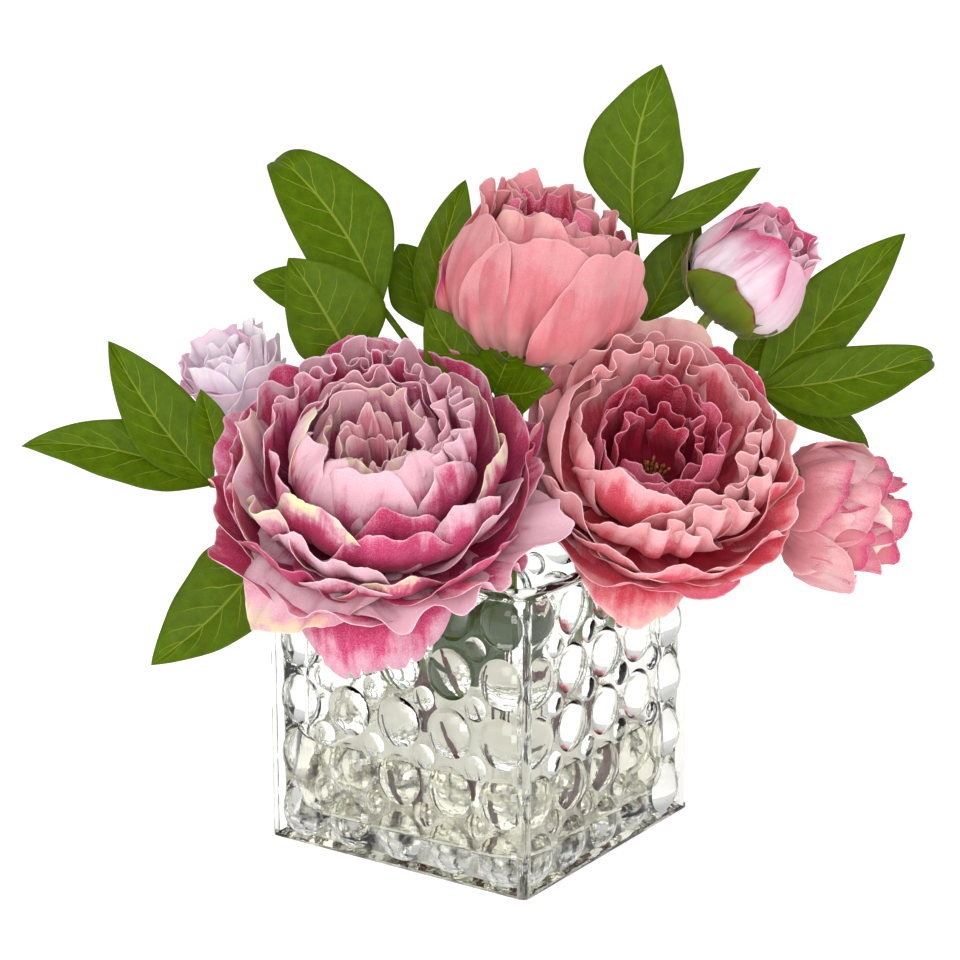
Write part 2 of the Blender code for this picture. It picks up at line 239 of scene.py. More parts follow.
glass_mesh = bmesh.new()
bmesh.ops.create_cube(glass_mesh, size=1.0)
block_height = vase_height - RIM_ROUND
bmesh.ops.scale(glass_mesh, vec=(vase_side, vase_side, block_height), verts=glass_mesh.verts)
bmesh.ops.translate(glass_mesh, vec=(0, 0, block_height / 2), verts=glass_mesh.verts)
uprights = [e for e in glass_mesh.edges if abs(e.verts[0].co.z - e.verts[1].co.z) > MM]
bmesh.ops.bevel(
    glass_mesh, geom=uprights, offset=POST_ROUND, segments=4, profile=0.5, affect="EDGES", material=-1
)
top_face = max(glass_mesh.faces, key=lambda f: f.calc_center_median().z)
turn_edge(glass_mesh, top_face, RIM_ROUND, ROUND_STEPS)
plain_faces = [f for f in glass_mesh.faces if abs(f.normal.z) < 0.1 and f.calc_area() > (vase_side / 2) ** 2]
bmesh.ops.delete(glass_mesh, geom=plain_faces, context="FACES_ONLY")
pressed_face = press_face()
for quarter in range(4):
    settled = set(glass_mesh.verts)
    glass_mesh.from_mesh(pressed_face)
    turned = Matrix.Rotation(math.tau / 4 * quarter, 3, "Z")
    bmesh.ops.rotate(glass_mesh, matrix=turned, verts=[v for v in glass_mesh.verts if v not in settled])
bmesh.ops.delete(glass_mesh, geom=[top_face], context="FACES_ONLY")
well_half = vase_side / 2 - WALL
sink_well(glass_mesh, well_half, WELL_CORNER, vase_height, GLASS_FLOOR, HEEL_ROUND, RIM_ROUND)
bmesh.ops.triangle_fill(
    glass_mesh, edges=open_edges(glass_mesh, vase_height), use_beauty=True, normal=(0, 0, 1)
)
bmesh.ops.remove_doubles(glass_mesh, verts=glass_mesh.verts, dist=TOUCHING)
bmesh.ops.recalc_face_normals(glass_mesh, faces=glass_mesh.faces)

pressed_glass, tree, shader = new_finish("pressed_glass", {
    "Base Color": dye("fdfefb"), "Roughness": 0.0, "IOR": 1.5, "Transmission Weight": 1.0,
})
where = put(tree, "TexCoord").outputs["Object"]
waves = reckon(tree, "MULTIPLY_ADD", grain(tree, where, 3 * MM, 2.0), 0.35, grain(tree, where, 22 * MM, 1.0))
relief(tree, shader, waves, 0.25, 0.6 * MM)
finish_piece("vase_of_pressed_glass", glass_mesh, pressed_glass, ["glass_vase"], 20)

# ---------------------------------------------------------------------------------------------
# The set water: clear resin poured round the stems, a third of the way up. It wets the glass,
# so it reaches a hair into the wall, and it climbs a little where it meets the glass.
WETTING = 0.2 * MM
CLIMB = 0.7 * MM
CLIMB_STEPS = ((0.5 * MM, 0.4), (0.8 * MM, 0.35), (1.4 * MM, 0.25))
water_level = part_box("set_water")[1].z
water_mesh = bmesh.new()
water_top = water_level + CLIMB
water_half = well_half + WETTING
sink_well(water_mesh, water_half, WELL_CORNER + WETTING, water_top, GLASS_FLOOR - WETTING, HEEL_ROUND, 0)
bmesh.ops.edgeloop_fill(water_mesh, edges=open_edges(water_mesh, water_top))
skin = max(water_mesh.faces, key=lambda f: f.calc_center_median().z)
skin.normal_update()
if skin.normal.z < 0:
    skin.normal_flip()
for width, fall in CLIMB_STEPS:
    bmesh.ops.inset_individual(water_mesh, faces=[skin], thickness=width, depth=-CLIMB * fall)
bmesh.ops.recalc_face_normals(water_mesh, faces=water_mesh.faces)

clear_resin, tree, shader = new_finish("clear_resin", {
    "Base Color": dye("fcfaee"), "Roughness": 0.0, "IOR": 1.42, "Transmission Weight": 1.0,
})
where = put(tree, "TexCoord").outputs["Object"]
relief(tree, shader, grain(tree, where, 14 * MM, 2.0), 0.2, 0.5 * MM)
finish_piece("set_resin_water", water_mesh, clear_resin, ["set_water"], 50)

# ---------------------------------------------------------------------------------------------
# The stems: wire cores in soft green plastic, wrapped with red-brown bark paper in places. They
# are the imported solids, with a finish of their own.


def fade(tree, value, start, end):
    """0 below start and 1 past end, with a soft step between them."""
    sockets = {"Value": value, "From Min": start, "From Max": end}
    return put(tree, "MapRange", sockets, interpolation_type="SMOOTHSTEP").outputs[0]


def stain(tree, amount, under, over):
    """The under colour with the over colour laid on it by the amount."""
    return put(tree, "Mix", {0: amount, 6: under, 7: over}, data_type="RGBA").outputs[2]


BARK_FOOT = (9 * MM, 16 * MM)
BARK_TOP = (74 * MM, 50 * MM)
stem_wrap, tree, shader = new_finish("stem_wrap", {"Roughness": 0.55})
where = put(tree, "TexCoord").outputs["Object"]
height = put(tree, "SeparateXYZ", {0: where}).outputs[2]
patches = reckon(tree, "MULTIPLY", fade(tree, height, *BARK_FOOT), fade(tree, height, *BARK_TOP))
patches = reckon(tree, "ADD", patches, reckon(tree, "MULTIPLY", grain(tree, where, 26 * MM, 3.0, 0.6), 0.8))
patches = fade(tree, patches, 0.75, 0.9)
ribs = grain(tree, put(tree, "Mapping", {0: where, 3: (1, 1, 0.15)}).outputs[0], 1.2 * MM, 3.0)
bark = stain(tree, ribs, dye("380600"), dye("7a1e0a"))
skin_green = stain(tree, ribs, dye("4a6410"), dye("90a030"))
tree.links.new(stain(tree, patches, skin_green, bark), shader.inputs["Base Color"])
relief(tree, shader, ribs, 0.6, 0.4 * MM)
for bloom in ("mauve", "coral", "cup", "bud_upper", "bud_right", "bud_left"):
    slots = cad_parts[f"{bloom}_stem"].data.materials
    slots.clear()
    slots.append(stem_wrap)

# ---------------------------------------------------------------------------------------------
# The petal cloth: fine polyester satin, dyed petal by petal with a brush, deep at the root and pale
# at the rim, then pressed over a hot ball so that its rim frills and its threads fray. The deep root
# colour is partly the dye and partly painted shade for the depths between the petals.
PETAL_MARKS = ("shade", "cream", "flush", "lot")
PETAL_DYES = ("Root", "Flesh", "Rim", "Cream", "Flush")
PETAL_THICK = 0.22 * MM
THREAD = 0.4 * MM
STEP_ACROSS = 0.85
STEP_ALONG = 1.8
SLITS = (-0.62, -0.3, -0.16, 0.12, 0.38, 0.6)


def open_group(name, colours, amounts, raised):
    """A new node group that takes these colours and amounts and gives a colour and what is raised."""
    tree = bpy.data.node_groups.new(name, "ShaderNodeTree")
    for key in colours:
        tree.interface.new_socket(key, in_out="INPUT", socket_type="NodeSocketColor")
    for key in amounts:
        tree.interface.new_socket(key, in_out="INPUT", socket_type="NodeSocketFloat")
    tree.interface.new_socket("Colour", in_out="OUTPUT", socket_type="NodeSocketColor")
    tree.interface.new_socket(raised, in_out="OUTPUT", socket_type="NodeSocketFloat")
    return tree, tree.nodes.new("NodeGroupInput").outputs, tree.nodes.new("NodeGroupOutput").inputs


def place_group(tree, group, names, codes):
    """The node group placed in a material, with these colours in its named sockets."""
    placed = tree.nodes.new("ShaderNodeGroup")
    placed.node_tree = group
    for name, code in zip(names, codes):
        placed.inputs[name].default_value = dye(code)
    return placed


def cloth_dyeing():
    """The node group that dyes a petal along its length and frays its rim.

    It reads the petal's own map (U across, V from root to rim) and its marks: shade is how much
    paler or deeper it is, partly its own dye and partly painted light, since petals that sit in
    shadow are set paler and one under the front light deeper; cream and flush how much of those
    colours its rim took, lot its number.
    Of its two amounts, the first is how strongly fine white specks of painted highlight whiten its
    raised threads, and Hem is how wide the flush at its rim is.
    """
    tree, dyes, ends = open_group("cloth_dyeing", PETAL_DYES, ("Painted Highlight", "Hem"), "Threads")
    across, along, _ = put(tree, "SeparateXYZ", {0: put(tree, "UVMap").outputs[0]}).outputs
    shade, cream, flush, lot = (
        put(tree, "Attribute", attribute_name=name).outputs["Fac"] for name in PETAL_MARKS
    )
    where = put(tree, "TexCoord").outputs["Object"]
    fan = reckon(tree, "MULTIPLY_ADD", across, 13.0, reckon(tree, "MULTIPLY", along, -0.8))
    streak_map = put(tree, "CombineXYZ", {0: fan, 1: reckon(tree, "MULTIPLY", along, 1.3), 2: lot})
    streaks = grain(tree, streak_map.outputs[0], 1.0, 4.0, 0.65)
    clouds = grain(tree, where, 11 * MM, 3.0, 0.6)
    # Painted highlight: fine white specks where the raised threads would catch the light.
    painted_highlight_specks = fade(tree, grain(tree, where, 0.45 * MM, 2.0, 0.7), 0.48, 0.66)
    drift = reckon(tree, "ADD", reckon(tree, "MULTIPLY_ADD", streaks, 0.5, -0.25), along)
    drift = reckon(tree, "ADD", reckon(tree, "MULTIPLY_ADD", clouds, 0.6, -0.3), drift)
    place = reckon(tree, "ADD", drift, reckon(tree, "MULTIPLY", shade, 0.4))
    # The Root colour is partly the petal's own dye and partly painted shade for the depths between the
    # petals.
    colour = stain(tree, fade(tree, place, 0.3, 0.94), dyes["Root"], dyes["Flesh"])
    colour = stain(tree, fade(tree, place, 0.84, 1.16), colour, dyes["Rim"])
    brush = reckon(tree, "MULTIPLY", fade(tree, streaks, 0.54, 0.68), reckon(tree, "MULTIPLY", flush, 0.4))
    colour = stain(tree, reckon(tree, "MULTIPLY", brush, fade(tree, along, 0.25, 0.7)), colour, dyes["Flush"])
    edge = reckon(tree, "MULTIPLY_ADD", reckon(tree, "SUBTRACT", drift, along), 0.35, along)
    hem = fade(tree, edge, reckon(tree, "SUBTRACT", 1.0, dyes["Hem"]), 1.0)
    hem = reckon(tree, "MULTIPLY", hem, flush)
    colour = stain(tree, hem, colour, dyes["Flush"])
    tip = reckon(tree, "MULTIPLY", fade(tree, drift, 0.8, 1.06), fade(tree, clouds, 0.4, 0.52))
    colour = stain(tree, reckon(tree, "MULTIPLY", tip, cream), colour, dyes["Cream"])
    fray = reckon(tree, "MULTIPLY", fade(tree, along, 0.965, 0.995), 0.45)
    colour = stain(tree, fray, colour, stain(tree, 0.4, colour, (1.0, 0.9, 0.9, 1.0)))
    # The painted highlight specks whiten the petal more towards its rim.
    painted_highlight = reckon(tree, "MULTIPLY", painted_highlight_specks, fade(tree, place, 0.5, 1.1))
    colour = stain(tree, reckon(tree, "MULTIPLY", painted_highlight, dyes["Painted Highlight"]), colour, (1.0, 0.93, 0.95, 1.0))
    tree.links.new(colour, ends["Colour"])
    weave = grain(tree, where, THREAD, 1.0)
    tree.links.new(reckon(tree, "MULTIPLY_ADD", streaks, 1.5, weave), ends["Threads"])
    return tree


def dyed_cloth(name, root, flesh, rim, cream, flush, painted_highlight_specks=0.22, hem=0.26):
    """Petal cloth in these five dyes."""
    finish, tree, shader = new_finish(name, {
        "Roughness": 0.72, "Specular IOR Level": 0.25, "Sheen Weight": 0.08, "Sheen Roughness": 0.4,
        "Subsurface Weight": 0.35, "Subsurface Radius": (1.0, 0.5, 0.55), "Subsurface Scale": 2 * MM,
    })
    dyeing = place_group(tree, petal_dyeing, PETAL_DYES, (root, flesh, rim, cream, flush))
    # How much painted highlight the white specks put on the raised threads.
    dyeing.inputs["Painted Highlight"].default_value = painted_highlight_specks
    dyeing.inputs["Hem"].default_value = hem
    tree.links.new(dyeing.outputs["Colour"], shader.inputs["Base Color"])
    relief(tree, shader, dyeing.outputs["Threads"], 0.35, 0.25 * MM)
    return finish


def within(node, x, y, z):
    """The point this far across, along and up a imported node's box."""
    low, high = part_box(node)
    return Vector((low.x + (high.x - low.x) * x, low.y + (high.y - low.y) * y, low.z + (high.z - low.z) * z))


FRONT = Vector((0.5645, -0.8255, 0.0))
ALONG = Vector((0.8255, 0.5645, 0.0))


def bloom_seat(heart, lift, turn):
    """The place of a flower: its heart at zero, its axis up, its -Y side to the vase's front
    corner. The axis stands lift degrees above level, turned from the front to the right."""
    lift, turn = math.radians(lift), math.radians(turn)
    axis = (FRONT * math.cos(turn) + ALONG * math.sin(turn)) * math.cos(lift)
    axis.z = math.sin(lift)
    away = -(FRONT - axis * FRONT.dot(axis)).normalized()
    turned = Matrix((away.cross(axis), away, axis)).transposed().to_4x4()
    return Matrix.Translation(heart) @ turned


class Petal:
    """How one petal is cut and pressed, in millimetres and degrees."""

    root = (3.0, -22.0)   # how far from the axis and how high its foot is
    spread = 12.0         # how steeply it leaves the foot
    swell = 0.5           # how far it bellies out on the way to its rim
    waist = 0.25          # the width of its foot, against its full width
    round_off = 0.48      # how much shorter it is at its sides than in the middle
    cup = 1.0             # 1 hugs the flower, 0 is flat across, negative bends back
    tuck = 1.5            # how far one side goes over its neighbour and the other under
    slant = 0.0           # how much higher its left side is than its right
    frill = 1.0           # the depth of the folds in its rim
    waves = 2.6           # how many folds there are
    crisp = 4.0           # how near to the rim the folds stay
    loop = 0.03           # how far the folds double back, against their length
    fold = 0.8            # the depth of the broad soft folds that run up it
    hold = 0.5            # how much of it runs straight up to the rim
    roll = 0.0            # how far its rim rolls out, or in if negative
    pleat = 0.8           # the depth of the creases that run up it
    notch = 0.0           # the depth of the slits in its rim
    # shade: how much paler or deeper it is, partly its own dye and partly painted light
    shade = 0.0
    cream = 0.0
    flush = 0.0


def press_petal(bm, seat, turn, width, reach, rise, lean, **cut):
    """Adds one petal, a fine sheet from its foot on the receptacle to its rim.

    The rim's middle is at this reach from the axis and this rise above the heart, and leans
    out (under 90 degrees), stands up (90) or closes in over the heart (over 90).
    """
    petal = Petal()
    for key, value in cut.items():
        setattr(petal, key, value)
    draw = [pressing.random() for _ in range(8)]
    reach += 2.4 * (draw[4] - 0.5)
    rise += 2.0 * (draw[5] - 0.5)
    turn += 5.0 * (draw[6] - 0.5)
    width *= 0.96 + 0.14 * draw[7]
    foot = Vector(petal.root)
    rim = Vector((reach, rise))
    pull = (rim - foot).length
    spread, lean = math.radians(petal.spread), math.radians(lean)
    first = foot + Vector((math.cos(spread), math.sin(spread))) * pull * petal.swell
    last = rim - Vector((math.cos(lean), math.sin(lean))) * pull * petal.hold
    turn = math.radians(turn)
    columns = max(16, round(width / STEP_ACROSS))
    rows = max(14, round(pull / STEP_ALONG))
    lot = draw[0] * 40
    slant = petal.slant + 6 * (draw[2] - 0.5)
    curl = petal.roll + 3.2 * (draw[3] - 0.35)
    marks = {layer: getattr(petal, key) for key, layer in mark_layers.items() if key != "lot"}
    sheet = bmesh.ops.create_grid(bm, x_segments=columns, y_segments=rows, size=1.0, calc_uvs=True)
    for vert in sheet["verts"]:
        u, v = vert.co.x, (vert.co.y + 1) / 2
        rounded = math.sqrt(max(0.0, 1 - abs(u) ** 2.3))
        top = 1 - petal.round_off * (1 - rounded)
        top += 0.08 * noise.noise(Vector((u * 1.9, 0, lot + 9)))
        top += 0.014 * noise.noise(Vector((u * 6, 3, lot)))
        top += 0.005 * noise.noise(Vector((u * 30, 7, lot)))
        if petal.notch:
            for slit in SLITS:
                cut_in = petal.notch * (0.4 + abs(noise.noise(Vector((slit * 9, 1, lot + 4)))))
                top -= cut_in * max(0, 1 - abs(u - slit - 0.03 * petal.slant) / 0.034)
        t = (1 - (1 - v) ** 1.35) * top
        s = 1 - t
        point = foot * s**3 + first * (3 * s * s * t) + last * (3 * s * t * t) + rim * t**3
        path = (first - foot) * (s * s) + (last - first) * (2 * s * t) + (rim - last) * (t * t)
        path.normalize()
        out = Vector((path.y, -path.x))
        half = width / 2 * (petal.waist + (1 - petal.waist) * math.sin(math.pi / 2 * min(1, t / 0.75)) ** 0.9)
        bend = petal.cup / max(point.x, 8.0)
        angle = u * half * bend
        side = math.sin(angle) / bend if abs(bend) > 1e-6 else u * half
        sunk = (1 - math.cos(angle)) / bend if abs(bend) > 1e-6 else 0.0
        drift = noise.noise(Vector((u * 1.4, 5, lot)))
        deep = t**petal.crisp * (0.8 + 0.9 * noise.noise(Vector((u * 1.9, 2, lot))))
        phase = math.pi * petal.waves * u + 1.8 * drift + draw[1] * math.tau
        lift = 1.5 * petal.frill * deep * math.sin(phase)
        lift += 2.2 * noise.noise(Vector((u * 1.6, v * 1.2, lot + 1))) * t
        belly = (4 * t * max(0.0, 1 - t)) ** 0.5 * 2
        lift += petal.fold * noise.noise(Vector((u * 3.1 + drift, v * 0.6, lot + 3))) * belly
        crease = 1 - abs(noise.noise(Vector((u * 3.4 + drift * 0.6, v * 0.9, lot + 5))) * 2)
        lift -= petal.pleat * crease**4 * math.sin(math.pi * min(1, t * 0.9 + 0.1))
        lift += 0.35 * noise.noise(Vector((u * 11, v * 7, lot + 2))) * t
        lift += petal.tuck * u * min(1, t * 1.5)
        lift += curl * max(0, (t / top - 0.8) / 0.2) ** 2
        side -= petal.loop * width / petal.waves * min(1.2, deep) * math.sin(2 * phase)
        radius = point.x - sunk + out.x * lift * math.cos(angle)
        side += out.x * lift * math.sin(angle)
        height = point.y + out.y * lift - slant * u * t
        vert.co = seat @ Vector((
            (radius * math.cos(turn) - side * math.sin(turn)) * MM,
            (radius * math.sin(turn) + side * math.cos(turn)) * MM,
            height * MM,
        ))
        for layer, value in marks.items():
            vert[layer] = value
        vert[mark_layers["lot"]] = lot


def thicken(piece, thickness):
    """Gives a pressed sheet its thickness, half to each side."""
    cloth = piece.modifiers.new("cloth", "SOLIDIFY")
    cloth.thickness = thickness
    cloth.offset = 0.0


def press_ring(name, seat, finish, nodes, slot, petals, **shared):
    """One threaded ring of petals: (turn, width, reach, rise, lean, its own cut)."""
    bm = bmesh.new()
    bm.loops.layers.uv.new("UVMap")
    for key in PETAL_MARKS:
        mark_layers[key] = bm.verts.layers.float.new(key)
    for turn, width, reach, rise, lean, *own in petals:
        press_petal(bm, seat, turn, width, reach, rise, lean, **{**shared, **(own[0] if own else {})})
    thicken(finish_piece(name, bm, finish, nodes, 180), PETAL_THICK)


petal_dyeing = cloth_dyeing()
pressing = random.Random(11)
mark_layers = {}

# ---------------------------------------------------------------------------------------------
# The mauve peony, full blown: drooping guard petals outside, three ruffled rings, then a ball of
# broad petals that close over a dusty pink cup. Some rims took a wash of cream yellow.
mauve_seat = bloom_seat(within("mauve_petals_1", 0.514, 0.484, 0.567), 58, 0)
mauve_cloth = dyed_cloth("mauve_cloth", "80002c", "be3468", "e4b2c0", "ece3a0", "9c1a60")
press_ring(
    "mauve_guard_petals", mauve_seat, mauve_cloth, ["mauve_petals_1"], "mauve_cloth",
    [
        (154, 52, 62, 0, 35, dict(flush=0.3)),
        (-172, 59, 58, 3, 70, dict(shade=-0.1, cream=0.3)),
        (-121, 70, 66, -13, -25, dict(
            shade=1.0, cream=0.6, round_off=0.8, flush=0.4, frill=2.2, waves=5, crisp=3, loop=0.06,
        )),
        (-148, 60, 63, -2, 62, dict(shade=0.1)),
        (-108, 62, 61, -5, 48, dict(shade=0.3, frill=1.4)),
        # Painted shade: this hanging petal is set deeper because it faces the front light.
        (-90, 60, 55, -40, -88, dict(
            shade=0.4, flush=0.4, notch=0.1, frill=0.3, round_off=0.5, waist=0.75, fold=0.4,
        )),
        (-70, 68, 62, -7, 20, dict(shade=0.8, frill=2.5, waves=3.5)),
        (-42, 59, 66, -4, 25, dict(shade=0.2, frill=2.0, waves=4, crisp=3, loop=0.1)),
        (-20, 57, 70, 3, 35, dict(shade=1.1, frill=1.3)),
        (6, 46, 60, 2, 40),
        (28, 52, 64, 2, 40, dict(shade=-0.1, flush=0.6)),
        (60, 57, 61, 9, 60, dict(shade=-0.1)),
        (92, 52, 60, 10, 65, dict(shade=-0.2)),
        (123, 55, 59, 9, 65, dict(shade=-0.1, flush=0.2)),
    ],
)
press_ring(
    "mauve_second_ring", mauve_seat, mauve_cloth, ["mauve_petals_2"], "mauve_cloth",
    [
        (-155, 48, 49, 12, 92, dict(cream=0.2)),
        (-130, 50, 54, 8, 85, dict(shade=-0.5)),
        (-102, 52, 54, 4, 70, dict(shade=0.4)),
        (-80, 43, 53, 8, 85, dict(shade=0.1, cream=0.6)),
        (-50, 57, 56, 8, 82, dict(shade=-0.2)),
        (-24, 50, 51, 15, 82, dict(shade=0.6)),
        (-2, 55, 54, 8, 95, dict(shade=-0.5)),
        (28, 52, 54, 12, 92, dict(shade=-0.1)),
        (62, 55, 55, 14, 92, dict(shade=0.1)),
        (100, 57, 53, 14, 94, dict(shade=0.1)),
        (140, 52, 53, 12, 92),
        (176, 48, 50, 12, 90),
    ],
    root=(3, -20.5), frill=1.3, waves=2.2,
)
press_ring(
    "mauve_third_ring", mauve_seat, mauve_cloth, ["mauve_petals_3"], "mauve_cloth",
    [
        (174, 36, 42, 22, 100, dict(shade=0.9, cream=0.5, roll=3, frill=2)),
        (-138, 41, 45, 20, 93, dict(shade=0.5, cream=0.8, frill=2)),
        (-106, 57, 48, 16, 93, dict(shade=0.8, frill=2.2, waves=4.5, crisp=3, loop=0.11)),
        (-80, 52, 44, 20, 102),
        (-43, 46, 44, 20, 104, dict(shade=0.3)),
        (-12, 52, 43, 23, 108, dict(shade=0.3, cream=0.7)),
        (30, 52, 43, 25, 108, dict(shade=0.5, cream=0.9)),
        (72, 43, 43, 27, 104, dict(shade=0.9, frill=2.5, waves=3.5)),
        (104, 57, 41, 27, 108, dict(shade=0.8, frill=2.2, waves=4, crisp=3, loop=0.1)),
        (142, 48, 43, 23, 106, dict(shade=0.4)),
    ],
    root=(3, -19), frill=1.8,
)
press_ring(
    "mauve_fourth_ring", mauve_seat, mauve_cloth, ["mauve_petals_4"], "mauve_cloth",
    [
        (168, 34, 33, 28, 105, dict(shade=0.2, round_off=0.5)),
        (-160, 36, 35, 24, 105, dict(shade=0.2)),
        (-117, 48, 38, 25, 109, dict(shade=0.4, cream=1.0)),
        (-76, 46, 37, 22, 107, dict(shade=-0.1)),
        (-41, 39, 33, 25, 109, dict(shade=0.3)),
        (-8, 34, 31, 28, 113, dict(shade=0.5, frill=2.2, waves=5.0, crisp=3, loop=0.11)),
        (22, 34, 32, 29, 111, dict(shade=0.5, frill=2.2, waves=5.0, crisp=3, loop=0.11)),
        (52, 39, 32, 28, 115, dict(shade=0.4, frill=2.6, waves=4, crisp=3, loop=0.1)),
        (84, 41, 31, 29, 115, dict(shade=0.2, frill=2.2, waves=5.0, crisp=3, loop=0.11)),
        (112, 41, 30, 30, 117, dict(shade=0.3, frill=2.2, waves=5.0, crisp=3, loop=0.11)),
        (142, 36, 32, 28, 111, dict(shade=0.3, frill=2.6, waves=4, crisp=3, loop=0.1)),
    ],
    root=(3, -17.5),
)
# A paler, pinker copy of the mauve cloth for the ball of heart petals: partly the ball's own paler dye,
# partly painted light for petals that sit in shade inside the flower.
ball_painted_light_cloth = dyed_cloth("mauve_ball_cloth", "8c1038", "c8507e", "edb2c0", "ece3a0", "9c1a60")
press_ring(
    "mauve_heart_petals", mauve_seat, ball_painted_light_cloth, ["mauve_petals_5"], "mauve_cloth",
    [
        (-128, 38, 23, 29, 140, dict(shade=1.1)),
        (-98, 44, 24, 29, 142, dict(shade=0.75)),
        (-60, 44, 22, 28, 146, dict(shade=0.8)),
        (-26, 34, 22, 28, 134, dict(shade=0.9, frill=2.0, waves=4.2, crisp=3, loop=0.11)),
        (4, 34, 23, 28, 126, dict(shade=0.6, frill=1.8, waves=3)),
        (34, 34, 24, 29, 120, dict(shade=0.5, frill=1.6)),
        (66, 36, 24, 30, 116, dict(shade=0.5, frill=1.6)),
        (98, 36, 24, 30, 118, dict(shade=0.6, frill=1.8, waves=3)),
        (130, 34, 23, 29, 124, dict(shade=0.5, frill=1.5)),
        (168, 38, 19, 29, 146, dict(shade=1.0, cream=0.6)),
        (-150, 30, 21, 29, 140, dict(shade=0.7, frill=1.3)),
        (-44, 30, 16, 25, 128, dict(shade=1.1, cream=1.0, frill=1.4, waves=3)),
        (-120, 28, 15, 25, 128, dict(shade=1.1, cream=1.0, frill=1.2)),
        (-6, 28, 17, 27, 120, dict(shade=1.1, frill=1.8, waves=3)),
        (26, 28, 18, 28, 112, dict(shade=0.8, frill=1.4)),
        (56, 30, 17, 29, 108, dict(shade=0.7, cream=0.3, frill=1.8)),
        (88, 30, 17, 29, 108, dict(shade=0.6, cream=0.5, frill=1.8)),
        (120, 28, 17, 28, 112, dict(shade=0.8, frill=1.2)),
        (176, 28, 14, 26, 128, dict(shade=1.2, cream=1.2)),
    ],
    root=(3, -16), round_off=0.35,
)

# The last ring is cut small, in a duller pink, and stands round the heart like a cup.
dusty_cloth = dyed_cloth("dusty_cloth", "9a2848", "dc8c9c", "f2c4c8", "ece09c", "c05078")
press_ring(
    "mauve_inner_cup", mauve_seat, dusty_cloth, ["mauve_stamens"], "mauve_cloth",
    [
        (turn, 13, reach, rise, 94, dict(shade=shade, cream=cream))
        for turn, reach, rise, shade, cream in (
            (-170, 11, 21, 0.5, 0.2), (-142, 11, 19, 0.7, 0.9), (-112, 11, 17, 0.8, 0.9),
            (-80, 11, 16, 0.6, 0.4), (-50, 11, 18, 0.5, 0.9), (-20, 11, 20, 0.5, 0.6),
            (10, 11, 21, 0.3, 0.1), (40, 12, 23, 0.3, 0.1), (70, 12, 24, 0.5, 0.1),
            (98, 12, 24, 0.2, 0.0), (132, 12, 22, 0.3, 0.0), (160, 12, 22, 0.3, 0.0),
            (20, 7, 18, 0.3, 0.0), (75, 7, 18, 0.1, 0.0), (140, 6, 17, 0.3, 0.0),
            (-140, 6, 15, 0.3, 0.3), (-70, 5, 13, 0.4, 0.3),
        )
    ],
    root=(2, -12), swell=0.35, round_off=0.6, frill=1.1, waves=1.6,
)

# ---------------------------------------------------------------------------------------------
# The coral peony, as full as the mauve one: peach guard petals, three rings of coral cloth with
# tightly crimped rims, and a deep crimson heart that stands open.
coral_seat = bloom_seat(within("coral_petals_1", 0.523, 0.495, 0.537), 49, 10)
coral_cloth = dyed_cloth("coral_cloth", "ac0626", "d4465a", "eaa4a8", "f4c4b0", "c42c60")
# Painted light: the coral's left side lies in shadow under the cup, so its petals there (turns -162 to -112,
# 166 and 172) are set paler than the rest.
press_ring(
    "coral_guard_petals", coral_seat, coral_cloth, ["coral_petals_1"], "coral_cloth",
    [
        (148, 48, 51, 6, 70, dict(shade=0.6)),
        (-162, 55, 47, 6, 82, dict(shade=0.5)),
        (-118, 68, 59, 5, 62, dict(shade=0.6, flush=0.5, frill=1.8)),
        (-94, 48, 63, -14, 5, dict(shade=0.5, cream=0.9)),
        (-70, 52, 57, -3, 40, dict(shade=0.4, flush=0.8)),
        (-41, 62, 57, 0, 50),
        (-12, 48, 51, 2, 60, dict(shade=0.3)),
        (14, 57, 50, 4, 62, dict(shade=0.9, cream=0.8)),
        (54, 52, 51, 12, 76, dict(flush=0.7)),
        (90, 55, 59, 10, 62, dict(shade=0.8, cream=0.7)),
        (122, 50, 53, 8, 70, dict(shade=0.5)),
    ],
)
press_ring(
    "coral_second_ring", coral_seat, coral_cloth, ["coral_petals_2"], "coral_cloth",
    [
        (115, 52, 47, 17, 94, dict(shade=0.7)),
        (80, 52, 46, 17, 94, dict(shade=0.8)),
        (44, 48, 45, 16, 96, dict(shade=0.3)),
        (12, 48, 45, 14, 96, dict(shade=0.4)),
        (-16, 50, 47, 11, 94, dict(shade=0.1)),
        (-46, 57, 50, 8, 90, dict(shade=0.2)),
        (-76, 66, 52, 6, 86, dict(shade=0.3)),
        (-112, 57, 49, 9, 90, dict(shade=0.4)),
        (-142, 52, 45, 9, 94, dict(shade=0.9)),
        (172, 43, 42, 14, 100, dict(shade=1.2, roll=2)),
        (145, 46, 45, 15, 96, dict(shade=0.5)),
    ],
    root=(3, -20.5), frill=1.3, waves=2.2,
)
press_ring(
    "coral_third_ring", coral_seat, coral_cloth, ["coral_petals_3"], "coral_cloth",
    [
        (166, 66, 34, 23, 130, dict(shade=1.2, frill=0.25, pleat=0.2, roll=-1)),
        (-134, 46, 42, 15, 102, dict(shade=0.8)),
        (-92, 62, 43, 17, 104, dict(shade=0.6, frill=2.0, waves=5.0, crisp=3, loop=0.11)),
        (-58, 48, 40, 19, 106, dict(shade=0.9, frill=2.4, waves=4.5, crisp=3, loop=0.11)),
        (-24, 44, 38, 20, 110, dict(shade=0.8, frill=2.2, waves=4.4, crisp=3, loop=0.11)),
        (10, 42, 37, 20, 110, dict(shade=0.6, frill=1.4)),
        (46, 42, 36, 21, 112, dict(shade=0.6, frill=1.4)),
        (80, 44, 35, 23, 114, dict(shade=0.7, frill=1.6)),
        (116, 44, 36, 24, 114, dict(shade=0.9, frill=1.8, waves=3)),
    ],
    root=(3, -19), frill=1.2,
)
